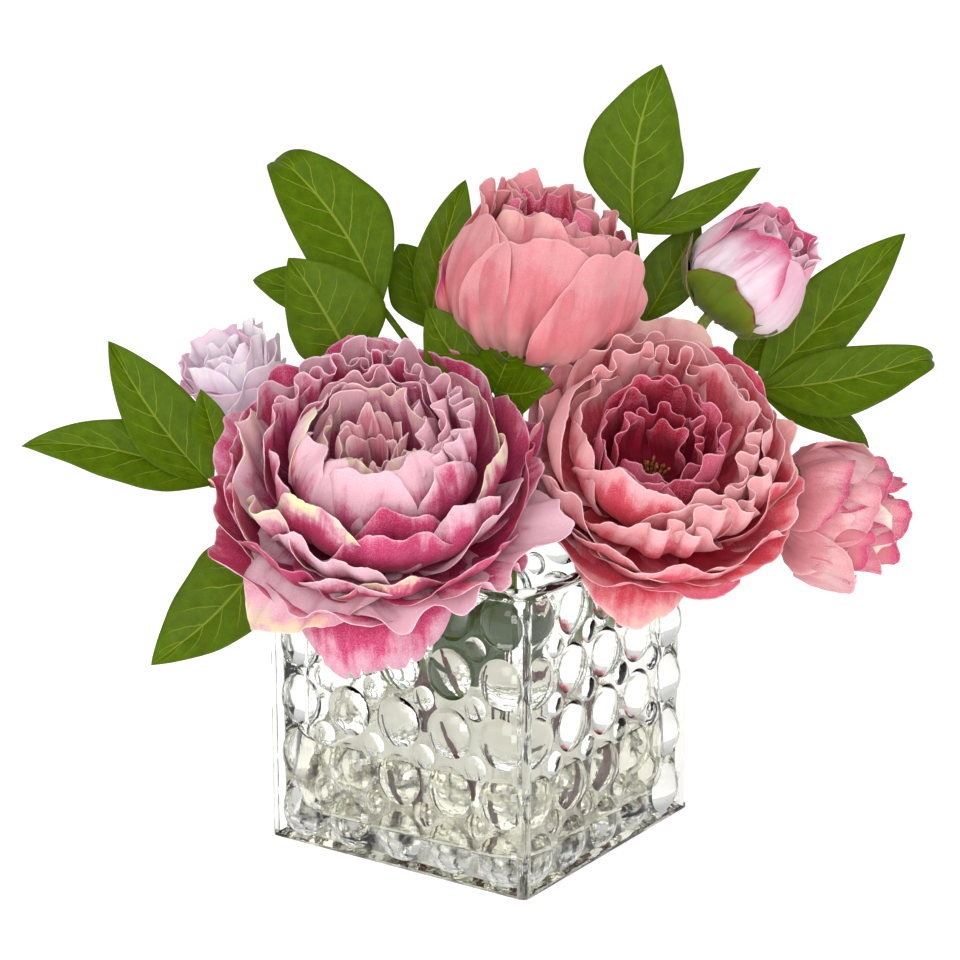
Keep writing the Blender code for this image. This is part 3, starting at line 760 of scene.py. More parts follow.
press_ring(
    "coral_fourth_ring", coral_seat, coral_cloth, ["coral_petals_4"], "coral_cloth",
    [
        (-104, 60, 31, 22, 122, dict(shade=0.4, frill=0.6, slant=2, pleat=0.4)),
        (-70, 44, 33, 20, 112, dict(shade=0.5)),
        (-44, 44, 32, 22, 108, dict(shade=1.0, frill=2.6, waves=4.4, crisp=3, loop=0.11)),
        (-12, 40, 31, 23, 108, dict(shade=0.9, frill=2.2, waves=4.2, crisp=3, loop=0.11)),
        (22, 38, 30, 23, 110, dict(shade=0.6, frill=1.6)),
        (56, 38, 29, 24, 112, dict(shade=0.5, frill=1.6)),
        (90, 40, 28, 25, 112, dict(shade=0.7, frill=2.2, waves=4.2, crisp=3, loop=0.11)),
        (122, 38, 29, 25, 112, dict(shade=1.0, frill=2.4, waves=4.2, crisp=3, loop=0.11)),
        (156, 38, 30, 23, 108, dict(shade=0.9, frill=1.6, waves=3)),
        (-160, 38, 30, 22, 110, dict(shade=0.7, frill=1.2)),
    ],
    root=(3, -17.5),
)
crimson_cloth = dyed_cloth("crimson_cloth", "7c0420", "b00e38", "dc6484", "eca0b0", "980a34")
press_ring(
    "coral_heart_petals", coral_seat, crimson_cloth, ["coral_petals_5"], "coral_cloth",
    [
        (-104, 36, 22, 16, 108, dict(shade=0.5)),
        (-64, 32, 20, 15, 104, dict(shade=0.3)),
        (-34, 34, 20, 20, 102, dict(shade=1.2, frill=2.0, waves=3)),
        (2, 32, 21, 20, 102, dict(shade=1.1, frill=1.6)),
        (38, 32, 21, 20, 104, dict(shade=0.4)),
        (74, 32, 20, 21, 106, dict(shade=0.1, frill=1.6)),
        (108, 32, 20, 21, 106, dict(shade=0.3, frill=1.6)),
        (144, 32, 21, 20, 102, dict(shade=0.4)),
        (-178, 30, 22, 18, 104, dict(shade=0.8)),
        (-142, 32, 22, 18, 106, dict(shade=0.9)),
        (-112, 24, 13, 9, 96, dict(shade=0.9, frill=1.6)),
        (-52, 26, 14, 10, 100, dict(shade=0.6, frill=1.6)),
        (24, 28, 15, 14, 96, dict(shade=0.3, frill=2.0, waves=4, crisp=3, loop=0.1)),
        (92, 28, 14, 15, 98, dict(frill=2.0, waves=4, crisp=3, loop=0.1)),
        (158, 26, 15, 13, 96, dict(shade=0.2, frill=1.6)),
        (58, 20, 8, 10, 94, dict(shade=0.1, frill=1.6)),
    ],
    root=(3, -16),
)

# ---------------------------------------------------------------------------------------------
# The cup, a coral peony half open: broad smooth petals wrap it almost to the top, and rolled
# tips and frayed rims stand round a small crimson heart.
cup_seat = bloom_seat(within("cup_petals_1", 0.5, 0.5, 0.596), 80, 55)
cup_cloth = dyed_cloth("cup_cloth", "e2a49e", "d46e76", "da8c90", "f0d4b4", "c23c78", 0.1)
press_ring(
    "cup_outer_petals", cup_seat, cup_cloth, ["cup_petals_1"], "cup_cloth",
    [
        (-94, 62, 30.5, 19, 113, dict(shade=0.6, tuck=0, slant=1, fold=3, waves=3.4, frill=1.4)),
        (-50, 54, 34, 15, 104, dict(shade=0.7, tuck=2.0, slant=-7, root=(4.5, -33))),
        (-144, 48, 28, 25, 110, dict(
            shade=0.6, tuck=2.0, slant=-5, round_off=0.7, swell=0.56, root=(4.5, -33),
        )),
        (180, 26, 35.5, -3, 84, dict(shade=-0.6, flush=1.0, swell=0.6, round_off=0.7, root=(5, -33))),
        (0, 50, 33, 15, 98, dict(roll=2, shade=0.4)),
        (40, 52, 32, 17, 102),
        (84, 52, 29, 19, 104),
        (132, 48, 25, 18, 106),
    ],
    root=(2, -33), spread=6, swell=0.63, frill=0.8, round_off=0.5, pleat=0.9, fold=2.2,
)
press_ring(
    "cup_second_ring", cup_seat, cup_cloth, ["cup_petals_2"], "cup_cloth",
    [
        (-76, 46, 24, 21, 122, dict(shade=0.4, frill=1.2, slant=-2, waves=3)),
        (-108, 40, 24, 22, 120, dict(shade=0.6, cream=0.2, frill=1.6, roll=2, waves=3)),
        (-150, 34, 24, 25, 112, dict(shade=0.3, roll=1.5, frill=1.6)),
        (176, 22, 20, 28, 102, dict(shade=0.4, roll=3, cup=2.0)),
        (148, 20, 18, 30, 98, dict(shade=0.3, roll=4, cup=2.4)),
        (120, 20, 17, 30, 98, dict(shade=0.4, roll=4, cup=2.4)),
        (96, 40, 22, 25, 106, dict(shade=0.4, frill=1.6)),
        (60, 40, 24, 25, 106, dict(shade=0.5, frill=1.6)),
        (16, 38, 25, 23, 106, dict(shade=0.4, roll=1)),
        (-22, 36, 26, 20, 108, dict(shade=0.5, roll=1)),
        (-48, 34, 27, 19, 108, dict(shade=0.6, roll=1, frill=1.4)),
    ],
    root=(2, -31.5), spread=8, swell=0.62, hold=0.36,
)
press_ring(
    "cup_third_ring", cup_seat, cup_cloth, ["cup_petals_3"], "cup_cloth",
    [
        (turn, 28, reach, rise, 112, dict(shade=shade, frill=2.0, waves=3.2, roll=1, loop=0.07))
        for turn, reach, rise, shade in (
            (-140, 18, 24, 0.6), (-108, 17, 22, 0.7), (-70, 18, 21, 0.4), (-36, 19, 21, 0.7),
            (0, 19, 23, 0.5), (36, 18, 25, 0.6), (72, 17, 26, 0.4), (108, 17, 26, 0.7),
            (150, 17, 26, 0.5), (-164, 14, 24, 0.4), (-90, 12, 21, 0.7), (130, 12, 25, 0.4),
        )
    ],
    root=(2, -30), swell=0.6, hold=0.4,
)
press_ring(
    "cup_heart_petals", cup_seat, crimson_cloth, ["cup_petals_4"], "cup_cloth",
    [
        (turn, 20, reach, rise, 100, dict(shade=shade, frill=1.6, waves=2.4))
        for turn, reach, rise, shade in (
            (-160, 13, 24, 0.3), (-110, 12, 21, 0.4), (-60, 12, 21, 0.9), (-10, 13, 23, 1.0),
            (30, 13, 25, 0.9), (70, 12, 27, 0.3), (110, 12, 27, 0.1), (155, 12, 26, 0.2),
            (0, 7, 20, 0.6), (120, 7, 20, 0.0), (-120, 6, 18, 0.2),
        )
    ],
    root=(2, -28), spread=30, swell=0.45,
)

# ---------------------------------------------------------------------------------------------
# The three buds: the upper one blush white with magenta rims, the right one half open in pink,
# and the left one lilac white, its tips just spreading. Each has an outer and an inner ring.
blush_cloth = dyed_cloth("blush_cloth", "eed4de", "e2aabc", "eabccb", "f4e6d8", "c8306c", 0.15, 0.32)
pink_cloth = dyed_cloth("pink_bud_cloth", "c86c78", "dc868e", "eab0b2", "f0e2cc", "be2860")
lilac_cloth = dyed_cloth("lilac_cloth", "dcbcd8", "ecd6e4", "f4e8ee", "f4ecd8", "c86c9c", 0.2, 0.3)
upper_seat = bloom_seat(within("bud_upper_petals_1", 0.461, 0.489, 0.44), 49, 78)
press_ring(
    "upper_bud_outer_petals", upper_seat, blush_cloth, ["bud_upper_petals_1"], "blush_cloth",
    [
        (-60, 46, 14, 15, 116, dict(shade=0.2, flush=0.2, tuck=2)),
        (-124, 46, 13, 16, 120, dict(flush=1.0, tuck=2, slant=-2)),
        (154, 42, 14, 19, 112, dict(flush=0.8)),
        (96, 40, 13, 22, 106, dict(flush=1.0, frill=1.2, waves=3)),
        (56, 40, 13, 22, 106, dict(flush=1.0, frill=1.2, waves=3)),
        (10, 42, 14, 18, 108, dict(flush=0.5, frill=1.2)),
    ],
    root=(2, -20), spread=10, swell=0.7, frill=0.7, pleat=0.4, fold=1.2,
)
press_ring(
    "upper_bud_inner_petals", upper_seat, blush_cloth, ["bud_upper_petals_2"], "blush_cloth",
    [
        (turn, width, reach, rise, lean, dict(shade=shade, flush=flush, frill=1.5, roll=1))
        for turn, width, reach, rise, lean, shade, flush in (
            (-158, 24, 9, 20, 118, 0.5, 0.5), (-118, 22, 9, 18, 118, 0.8, 0.1),
            (-80, 24, 9, 17, 118, 0.7, 0.2), (-36, 24, 10, 18, 114, 0.6, 0.2),
            (10, 24, 11, 20, 110, 0.8, 0.1), (50, 24, 10, 22, 108, 0.4, 0.8),
            (92, 24, 9, 23, 108, 0.3, 1.0), (138, 24, 9, 22, 112, 0.4, 0.7), (-104, 15, 5, 18, 108, 0.9, 0.1),
            (-50, 15, 5, 18, 106, 0.9, 0.0), (10, 15, 5, 20, 104, 0.7, 0.2), (80, 15, 5, 21, 104, 0.5, 0.7),
            (150, 15, 5, 20, 104, 0.6, 0.4), (190, 12, 2, 19, 98, 0.7, 0.3),
        )
    ],
    root=(2, -18.5), spread=15, swell=0.62, hold=0.42, fold=0.4,
)
right_seat = bloom_seat(within("bud_right_petals_1", 0.445, 0.476, 0.496), -3, 88)
press_ring(
    "right_bud_outer_petals", right_seat, pink_cloth, ["bud_right_petals_1"], "cup_cloth",
    [
        (-82, 44, 25, 5, 104, dict(shade=0.4, frill=0.3, round_off=0.6)),
        (-138, 44, 26, 4, 98, dict(shade=0.5, flush=1.0, frill=1.2, waves=3)),
        (-42, 42, 26, 8, 92, dict(shade=0.7, flush=0.3, frill=1.6, waves=3, roll=1)),
        (-8, 46, 26, 12, 88, dict(shade=0.6, flush=0.6, frill=2.0, waves=3.4, roll=2)),
        (176, 50, 21, 12, 108, dict(shade=0.7, flush=0.3)),
        (132, 46, 22, 14, 106, dict(shade=0.3)),
        (84, 48, 24, 12, 104),
        (36, 48, 26, 12, 94, dict(shade=0.3)),
    ],
    root=(2, -23), swell=0.62, tuck=1.6, frill=0.8, fold=1.2,
)
press_ring(
    "right_bud_inner_petals", right_seat, pink_cloth, ["bud_right_petals_2"], "cup_cloth",
    [
        (-70, 36, 22, 11, 106, dict(shade=-0.4, flush=1.0, frill=1.4, waves=3)),
        (-112, 36, 21, 14, 110, dict(shade=0.6, flush=0.6, round_off=0.6)),
        (-150, 36, 19, 20, 110, dict(shade=0.5, flush=1.0, frill=1.4, waves=3)),
        (-88, 28, 15, 18, 114, dict(shade=0.9, cream=1.0, frill=0.8)),
        (-118, 26, 12, 20, 112, dict(shade=0.9, cream=0.8, frill=0.8)),
        (-56, 32, 16, 23, 104, dict(shade=-0.2, flush=1.0, frill=1.6, waves=3)),
        (-104, 30, 10, 26, 106, dict(shade=0.3, flush=1.0, frill=1.6, waves=3)),
        (178, 34, 13, 26, 106, dict(shade=0.4, flush=1.0, frill=1.6, waves=3)),
        (-20, 38, 20, 18, 98, dict(shade=0.3, flush=0.8, frill=1.8, waves=3)),
        (22, 36, 16, 23, 102, dict(flush=1.0, frill=1.6)),
        (70, 36, 15, 24, 104, dict(flush=1.0, frill=1.6)),
        (122, 36, 14, 24, 104, dict(flush=1.0, frill=1.6)),
        (-80, 20, 6, 22, 100, dict(shade=-0.2, flush=1.0, frill=1.4)),
        (40, 20, 6, 23, 100, dict(flush=1.0, frill=1.4)),
        (160, 20, 6, 23, 100, dict(flush=1.0, frill=1.4)),
    ],
    root=(2, -21.5), spread=14, swell=0.58, hold=0.4,
)
left_seat = bloom_seat(within("bud_left_petals_1", 0.53, 0.53, 0.4), 68, -62)
press_ring(
    "left_bud_outer_petals", left_seat, lilac_cloth, ["bud_left_petals_1"], "lilac_cloth",
    [
        (-86, 42, 18, 3, 82, dict(frill=1.2, shade=-0.3, flush=0.2)),
        (-164, 38, 17, 9, 66, dict(flush=0.7, frill=1.4)),
        (-40, 38, 22, 7, 76, dict(frill=1.4)),
        (0, 38, 24, 10, 74, dict(frill=1.4)),
        (44, 38, 20, 13, 78),
        (100, 38, 17, 12.5, 80, dict(flush=0.4)),
        (152, 36, 15, 12, 76, dict(flush=0.4)),
    ],
    root=(2, -20), spread=40, swell=0.45, frill=1.2,
)
press_ring(
    "left_bud_inner_petals", left_seat, lilac_cloth, ["bud_left_petals_2"], "lilac_cloth",
    [
        (-10, 26, 17, 15, 82, dict(shade=0.3)),
        (30, 26, 17, 15.5, 84, dict(shade=0.3)),
        (110, 30, 12, 16, 88, dict(shade=0.3, flush=0.3)),
        (66, 28, 14, 15.5, 90, dict(flush=0.5)),
        (170, 28, 12, 14.5, 92, dict(flush=0.6)),
        (-130, 26, 12, 13, 96, dict(cream=0.6)),
        (-74, 32, 12, 13, 96, dict(cream=0.8)),
        (-36, 26, 13, 14, 94, dict(cream=0.4)),
        (20, 18, 7, 15, 94), (80, 18, 6, 15, 94), (140, 18, 5, 14, 94), (-100, 18, 5, 13, 94),
        (-40, 18, 6, 13, 94),
    ],
    root=(2, -18.5), spread=40, frill=1.1, waves=2.4,
)

# ---------------------------------------------------------------------------------------------
# The sepals: olive cloth cups with a red-brown rim. They are cut and pressed as the petals are,
# and glued round each flower's foot, where they hold its lowest petals.
sepal_cloth = dyed_cloth("sepal_cloth", "4c6408", "586c08", "62720e", "a9b45e", "5c1a0c", 0.0, 0.07)
SEPALS = {
    "mauve": [(turn, 26, 24, -20, 20) for turn in range(-180, 180, 72)],
    "coral": [(turn, 26, 24, -20, 20) for turn in range(-150, 200, 72)],
    "cup": [
        (-128, 24, 19, -27, 50), (-84, 26, 17, -27, 60), (-30, 24, 17, -29, 60), (40, 26, 19, -27, 60),
        (110, 26, 19, -27, 60), (-176, 30, 30, -14, 76), (-146, 30, 27, -17, 70),
    ],
    "bud_upper": [
        (-104, 38, 24, -2, 102, dict(roll=-1, round_off=0.6)), (-172, 24, 24, -5, 84, dict(roll=2)),
        (150, 26, 22, 0, 92), (-38, 24, 22, -8, 84, dict(roll=2)), (30, 24, 21, -6, 84),
        (90, 24, 21, -4, 84),
    ],
    "bud_right": [
        (-60, 24, 16, -19, 60), (10, 24, 16, -19, 60), (80, 24, 16, -19, 60), (-150, 26, 22, -16, 66),
        (150, 24, 16, -19, 60),
    ],
    "bud_left": [(turn, 18, 12, -14, 66) for turn in range(-90, 181, 90)],
}
SEATS = {
    "mauve": (mauve_seat, -25), "coral": (coral_seat, -25), "cup": (cup_seat, -35.5),
    "bud_upper": (upper_seat, -22.5), "bud_right": (right_seat, -24.5), "bud_left": (left_seat, -21.5),
}
for bloom, (seat, foot) in SEATS.items():
    press_ring(
        f"{bloom}_sepals", seat, sepal_cloth, [f"{bloom}_calyx"], "sepal_cloth", SEPALS[bloom],
        root=(2.5, foot), spread=8, swell=0.6, waist=0.5, round_off=0.75, frill=0.3, flush=1.0, tuck=0.5,
    )

# ---------------------------------------------------------------------------------------------
# The stamens: a tuft of fine yellow threads, each with a brown bead of flocking at its tip. The
# tuft is glued into the receptacle before the petals are threaded on.
THREAD_FOOT = 0.35 * MM
THREAD_TIP = 0.22 * MM
BEAD = 0.9 * MM
GOLDEN_TURN = 2.4
stamen_thread, tree, shader = new_finish("stamen_thread", {"Roughness": 0.8})
where = put(tree, "TexCoord").outputs["Object"]
flock = fade(tree, grain(tree, where, 2.2 * MM, 2.0), 0.45, 0.6)
tree.links.new(stain(tree, flock, dye("a87c28"), dye("6c3a14")), shader.inputs["Base Color"])
relief(tree, shader, grain(tree, where, 0.3 * MM), 0.5, 0.2 * MM)


def plant_stamens(name, seat, node, base, count, length):
    """A tuft of threads that fan out of the receptacle."""
    bm = bmesh.new()
    for number in range(count):
        turn = number * GOLDEN_TURN
        out = math.sqrt((number + 0.5) / count)
        lean = Matrix.Rotation(turn, 4, "Z") @ Matrix.Rotation(out * 0.45, 4, "Y")
        tall = length * (0.8 + 0.3 * pressing.random()) * MM
        spot = seat @ Matrix.Translation((0, 0, base * MM)) @ lean
        bmesh.ops.create_cone(
            bm, segments=5, radius1=THREAD_FOOT, radius2=THREAD_TIP, depth=tall,
            matrix=spot @ Matrix.Translation((0, 0, tall / 2)),
        )
        bead = Matrix.Translation((0, 0, tall)) @ Matrix.Diagonal((0.7, 0.7, 1.5, 1))
        bmesh.ops.create_icosphere(bm, subdivisions=1, radius=BEAD, matrix=spot @ bead)
    finish_piece(name, bm, stamen_thread, [node], 60)


plant_stamens("coral_stamen_tuft", coral_seat, "coral_stamens", -17, 22, 12)
plant_stamens("cup_stamen_tuft", cup_seat, "cup_stamens", -27, 30, 14)

# ---------------------------------------------------------------------------------------------
# The leaves: green cloth cut and pressed in a hot mould, which leaves a pale raised net of veins
# and a folded midrib. Each spray has a thin plastic petiole pegged to a flower's stem.
LEAF_INKS = ("Dark", "Light", "Vein")
VEIN_PAIRS = 7.0
VEIN_SWEEP = 1.9
VEIN_MESH = 3.2 * MM
CURL_START = 0.78
WIDEST = 0.4
LEAF_THICK = 0.35 * MM
LEAF_COLUMNS = 22
LEAF_STEP = 1.3
PETIOLE_RADIUS = 1.1 * MM
PETIOLE_SIDES = 8


def leaf_printing():
    """The node group that prints the veins on a leaf, from its own map (U across, V along)."""
    tree, inks, ends = open_group("leaf_printing", LEAF_INKS, (), "Veins")
    across, along, _ = put(tree, "SeparateXYZ", {0: put(tree, "UVMap").outputs[0]}).outputs
    where = put(tree, "TexCoord").outputs["Object"]
    wander = reckon(tree, "MULTIPLY_ADD", grain(tree, where, 9 * MM, 3.0, 0.6), 2.4, -1.2)
    off = reckon(tree, "ABSOLUTE", reckon(tree, "MULTIPLY_ADD", across, 2.0, -1.0))
    swept = reckon(tree, "MULTIPLY", off, VEIN_SWEEP)
    rank = reckon(tree, "SUBTRACT", reckon(tree, "MULTIPLY", along, VEIN_PAIRS), swept)
    rank = reckon(tree, "ADD", rank, reckon(tree, "MULTIPLY", wander, 0.2))
    gap = reckon(tree, "ABSOLUTE", reckon(tree, "SUBTRACT", reckon(tree, "FRACT", rank), 0.5))
    side_vein = reckon(tree, "SUBTRACT", 1.0, fade(tree, gap, 0.01, 0.045))
    side_vein = reckon(tree, "MULTIPLY", side_vein, reckon(tree, "SUBTRACT", 1.0, fade(tree, off, 0.3, 0.9)))
    midrib = reckon(tree, "SUBTRACT", 1.0, fade(tree, off, 0.012, 0.045))
    cells = {"Vector": where, "Scale": 1 / VEIN_MESH}
    net = put(tree, "TexVoronoi", cells, feature="DISTANCE_TO_EDGE").outputs[0]
    net = reckon(tree, "MULTIPLY", reckon(tree, "SUBTRACT", 1.0, fade(tree, net, 0.0, 0.07)), 0.1)
    veins = reckon(tree, "MAXIMUM", reckon(tree, "MAXIMUM", side_vein, midrib), net)
    mottle = grain(tree, where, 5 * MM, 4.0, 0.65)
    colour = stain(tree, fade(tree, mottle, 0.1, 0.9), inks["Dark"], inks["Light"])
    hem = reckon(tree, "MULTIPLY", fade(tree, off, 0.8, 1.0), 0.3)
    colour = stain(tree, hem, colour, inks["Dark"])
    colour = stain(tree, reckon(tree, "MULTIPLY", veins, 0.5), colour, inks["Vein"])
    tree.links.new(colour, ends["Colour"])
    fine = grain(tree, where, 0.5 * MM, 2.0)
    tree.links.new(reckon(tree, "MULTIPLY_ADD", fine, 0.35, veins), ends["Veins"])
    return tree


leaf_print = leaf_printing()


def printed_leaf(name, dark, light, vein):
    """Leaf cloth printed in these three inks."""
    finish, tree, shader = new_finish(name, {"Roughness": 0.42, "Specular IOR Level": 0.08})
    printing = place_group(tree, leaf_print, LEAF_INKS, (dark, light, vein))
    tree.links.new(printing.outputs["Colour"], shader.inputs["Base Color"])
    relief(tree, shader, printing.outputs["Veins"], 0.5, 0.3 * MM)
    return finish


def cut_leaflet(bm, base, facing, yaw, pitch, length, width, bow, droop, curl=25):
    """One blade from its base to its point, cupped along a folded midrib and bowed to one side.
    Its last part curls back by this many degrees."""
    yaw, pitch = math.radians(yaw), math.radians(pitch)
    ahead = Vector((math.cos(pitch) * math.cos(yaw), math.cos(pitch) * math.sin(yaw), math.sin(pitch)))
    outward = FRONT * (0.9 * facing) + Vector((0, 0, 0.55))
    face = (outward - ahead * outward.dot(ahead)).normalized()
    left = face.cross(ahead)
    lot = pressing.random() * 30
    lopsided = 0.12 * math.sin(lot)
    rows = max(20, round(length / LEAF_STEP))
    blade = bmesh.ops.create_grid(bm, x_segments=LEAF_COLUMNS, y_segments=rows, size=1.0, calc_uvs=True)
    for vert in blade["verts"]:
        u, s = vert.co.x, (vert.co.y + 1) / 2
        if s < WIDEST:
            half = math.sin(math.pi / 2 * s / WIDEST) ** 0.9
        else:
            half = 1 - ((s - WIDEST) / (1 - WIDEST)) ** 1.8
        half *= width / 2 * (1 + lopsided * u)
        half *= 1 + 0.04 * noise.noise(Vector((s * 6, u, lot)))
        rank = s * VEIN_PAIRS - abs(u) * VEIN_SWEEP
        quilt = 0.22 * math.sin(math.tau * (rank - 0.25)) * abs(u) ** 0.5 * (1 - u * u) * min(1, half / 6)
        fold = half * 0.16 * abs(u) - 0.5 * math.exp(-(u * half / 0.8) ** 2)
        ripple = 1.1 * noise.noise(Vector((s * 3, u * 1.4, lot))) * abs(u) * min(1, half / 5)
        lift = quilt + fold + ripple
        spine = ahead * (length * min(s, CURL_START)) + left * (bow * length * 4 * s * (1 - s))
        spine -= face * (droop * length * s * s)
        past = max(0.0, s - CURL_START) / (1 - CURL_START)
        bent = math.radians(curl) * past
        if bent > 0.001:
            ring = length * (1 - CURL_START) / math.radians(curl)
            spine += ahead * (ring * math.sin(bent)) - face * (ring * (1 - math.cos(bent)))
            lift, ahead_lift = lift * math.cos(bent), lift * math.sin(bent)
            spine += ahead * ahead_lift
        vert.co = base + (spine + left * (u * half) + face * lift) * MM


def draw_petiole(bm, route, radius):
    """A round rod along the route, drawn on ring by ring from a circle."""
    for number, spot in enumerate(route):
        after = route[min(number + 1, len(route) - 1)]
        before = route[max(number - 1, 0)]
        frame_here = Matrix.Translation(spot) @ (after - before).to_track_quat("Z", "Y").to_matrix().to_4x4()
        if number == 0:
            end = bmesh.ops.create_circle(
                bm, cap_ends=True, segments=PETIOLE_SIDES, radius=radius, matrix=frame_here
            )
            edges = list(end["verts"][0].link_faces[0].edges)
            continue
        drawn = bmesh.ops.extrude_edge_only(bm, edges=edges)["geom"]
        ring = [g for g in drawn if isinstance(g, bmesh.types.BMVert)]
        edges = rim_edges(drawn, ring)
        middle = sum((v.co for v in ring), Vector()) / len(ring)
        back = (before - route[max(number - 2, 0)]) if number > 1 else (after - before)
        still = Matrix.Identity(3).to_quaternion()
        swing = back.rotation_difference(after - before) if back.length else still
        for vert in ring:
            vert.co = spot + swing @ (vert.co - middle)
    bmesh.ops.edgeloop_fill(bm, edges=edges)


def bend_route(points, first, steps):
    """Points along a smooth line through the given ones, starting in a given direction."""
    tangents = [first.normalized() * (points[1] - points[0]).length]
    for before, after in zip(points, points[2:]):
        tangents.append((after - before) / 2)
    tangents.append(points[-1] - points[-2])
    route = [points[0]]
    for number, (start, end) in enumerate(zip(points, points[1:])):
        for step in range(1, steps + 1):
            t = step / steps
            route.append(
                start * (2 * t**3 - 3 * t**2 + 1) + tangents[number] * (t**3 - 2 * t**2 + t)
                + end * (3 * t**2 - 2 * t**3) + tangents[number + 1] * (t**3 - t**2)
            )
    return route


# Each spray: where its petiole starts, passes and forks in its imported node's box, the direction
# it leaves the stem in, the side its upper face shows at, and its blades (heading in degrees,
# pitch, length, width, bow to its left, droop and, for some, how far the end curls back).
SPRAYS = {
    "leaf_left": (
        [(0.99, 0.99, 0.02), (0.68, 0.58, 0.17)], (-0.48, -0.85, 0.2), 1,
        [(-134, 16, 72, 25, -0.07, 0.04), (-147, 56, 66, 28, 0.04, 0.03)],
    ),
    "leaf_low_left": (
        [(0.98, 0.98, 0.37), (0.71, 0.87, 0.89), (0.41, 0.64, 0.97)], (-0.78, -0.11, 0.62), 1,
        [(-118, -40, 68, 34, 0.08, 0.05)],
    ),
    "leaf_upper_left": (
        [(0.99, 0.97, 0.0), (0.78, 0.59, 0.33), (0.58, 0.34, 0.57)], (-0.56, -0.38, 0.74), 1,
        [(-176, 48, 80, 37, -0.07, 0.03, 95), (-172, 8, 59, 23, 0.02, 0.04)],
    ),
    "leaf_mid_left": (
        [(0.99, 0.98, 0.01), (0.64, 0.68, 0.32), (0.33, 0.37, 0.56)], (-0.56, -0.41, 0.72), 1,
        [(-146, 61, 50, 38, -0.02, 0.05)],
    ),
    "leaf_centre": (
        [(0.98, 0.31, 0.01), (0.64, 0.24, 0.28), (0.37, 0.2, 0.49)], (-0.68, -0.1, 0.73), 1,
        [(88, 68, 60, 22, 0.03, 0.0), (160, 56, 38, 26, -0.05, 0.03)],
    ),
    "leaf_under_cup": (
        [(0.57, 0.95, 0.02), (0.48, 0.53, 0.49)], (-0.3, -0.95, 1.0), 1,
        [(-146, 51, 40, 27, 0.09, -0.05), (-122, 31, 27, 20, 0.06, 0.0), (-12, 14, 30, 27, -0.1, 0.0),
         (-12, 62, 26, 19, 0.0, 0.0)],
    ),
    "leaf_top_right": (
        [(0.53, 0.03, 0.0), (0.42, 0.22, 0.26), (0.29, 0.3, 0.54)], (-0.62, 0.06, 0.79), 1,
        [(62, 80, 64, 38, 0.07, 0.03), (34, 29, 54, 15, -0.06, 0.04)],
    ),
    "leaf_beside_cup": (
        [(0.66, 0.03, 0.01), (0.16, 0.46, 0.54)], (-0.62, 0.35, 0.7), 1,
        [(54, 60, 46, 22, -0.02, 0.05)],
    ),
    "leaf_right": (
        [(0.01, 0.01, 0.01), (0.13, 0.23, 0.21), (0.29, 0.5, 0.37)], (0.39, 0.8, 0.45), 1,
        [(46, 46, 84, 29, -0.01, 0.03), (24, 15, 75, 28, -0.05, 0.03, 110), (40, -27, 53, 17, 0.05, 0.02)],
    ),
    "leaf_under_bud": (
        [(0.05, 0.01, 0.03), (0.5, 0.82, 0.43)], (0.28, 0.86, 0.43), 1,
        [(38, 56, 24, 17, 0.0, 0.05)],
    ),
    "leaf_before_bud": (
        [(0.67, 0.99, 0.03), (0.57, 0.17, 0.37)], (-0.24, -0.85, 0.46), 1,
        [(-110, 74, 25, 14, 0.0, 0.05)],
    ),
    "leaf_in_vase": (
        [(0.02, 0.85, 0.02), (0.48, 0.52, 0.22)], (0.57, -0.4, 0.72), 1,
        [(-18, 58, 52, 26, 0.0, 0.0), (-60, 66, 46, 22, 0.0, 0.0), (25, 44, 44, 20, 0.0, 0.0)],
    ),
    "leaf_back_left": (
        [(0.98, 0.01, 0.01), (0.83, 0.47, 0.51)], (-0.28, 0.57, 0.78), -1,
        [(165, 30, 62, 24, 0.04, 0.10), (125, 12, 54, 22, 0.0, 0.12)],
    ),
    "leaf_back_right": (
        [(0.51, 0.01, 0.01), (0.54, 0.53, 0.45)], (0.02, 0.75, 0.66), -1,
        [(96, 38, 60, 26, -0.04, 0.12), (60, 2, 52, 20, 0.05, 0.12), (128, 4, 56, 22, 0.0, 0.12)],
    ),
}
leaf_cloth = printed_leaf("leaf_cloth", "415700", "536e00", "98a63c")
# Painted shade: a darker copy of the leaf cloth for the leaf that stands inside the vase, behind the glass.
shaded_leaf_cloth = printed_leaf("shaded_leaf_cloth", "2c4600", "3a5600", "5e7422")
for spray, (path, leaving, facing, blades) in SPRAYS.items():
    leaf_mesh = bmesh.new()
    leaf_mesh.loops.layers.uv.new("UVMap")
    route = bend_route([within(spray, *spot) for spot in path], Vector(leaving), 6)
    draw_petiole(leaf_mesh, route, PETIOLE_RADIUS)
    for blade in blades:
        cut_leaflet(leaf_mesh, route[-1] - (route[-1] - route[-2]).normalized() * MM, facing, *blade)
    finish = shaded_leaf_cloth if spray == "leaf_in_vase" else leaf_cloth
    thicken(finish_piece(f"{spray}_spray", leaf_mesh, finish, [spray], 180), LEAF_THICK)

# ---------------------------------------------------------------------------------------------
# The studio: a plain pale floor, soft light from a wide sky and four large soft boxes, and a
# long-lens camera a little above the flowers, turned towards the vase's front corner.
FLOOR_RADIUS = 14
FLOOR_GAP = 0.3 * MM
VIEW_TURN = math.radians(34.365)
VIEW_LIFT = math.radians(13.67)
AIM_RIGHT, AIM_UP, CAMERA_BACK = -0.009, 1.134, 8.722
FLOWERS_HIGH = 0.15
floor_mesh = bmesh.new()
bmesh.ops.create_circle(floor_mesh, cap_ends=True, segments=64, radius=FLOOR_RADIUS)
bmesh.ops.translate(floor_mesh, vec=(0, 0, -FLOOR_GAP), verts=floor_mesh.verts)
floor_data = bpy.data.meshes.new("studio_floor")
floor_mesh.to_mesh(floor_data)
floor_mesh.free()
studio_floor = bpy.data.objects.new("studio_floor", floor_data)
bpy.context.collection.objects.link(studio_floor)
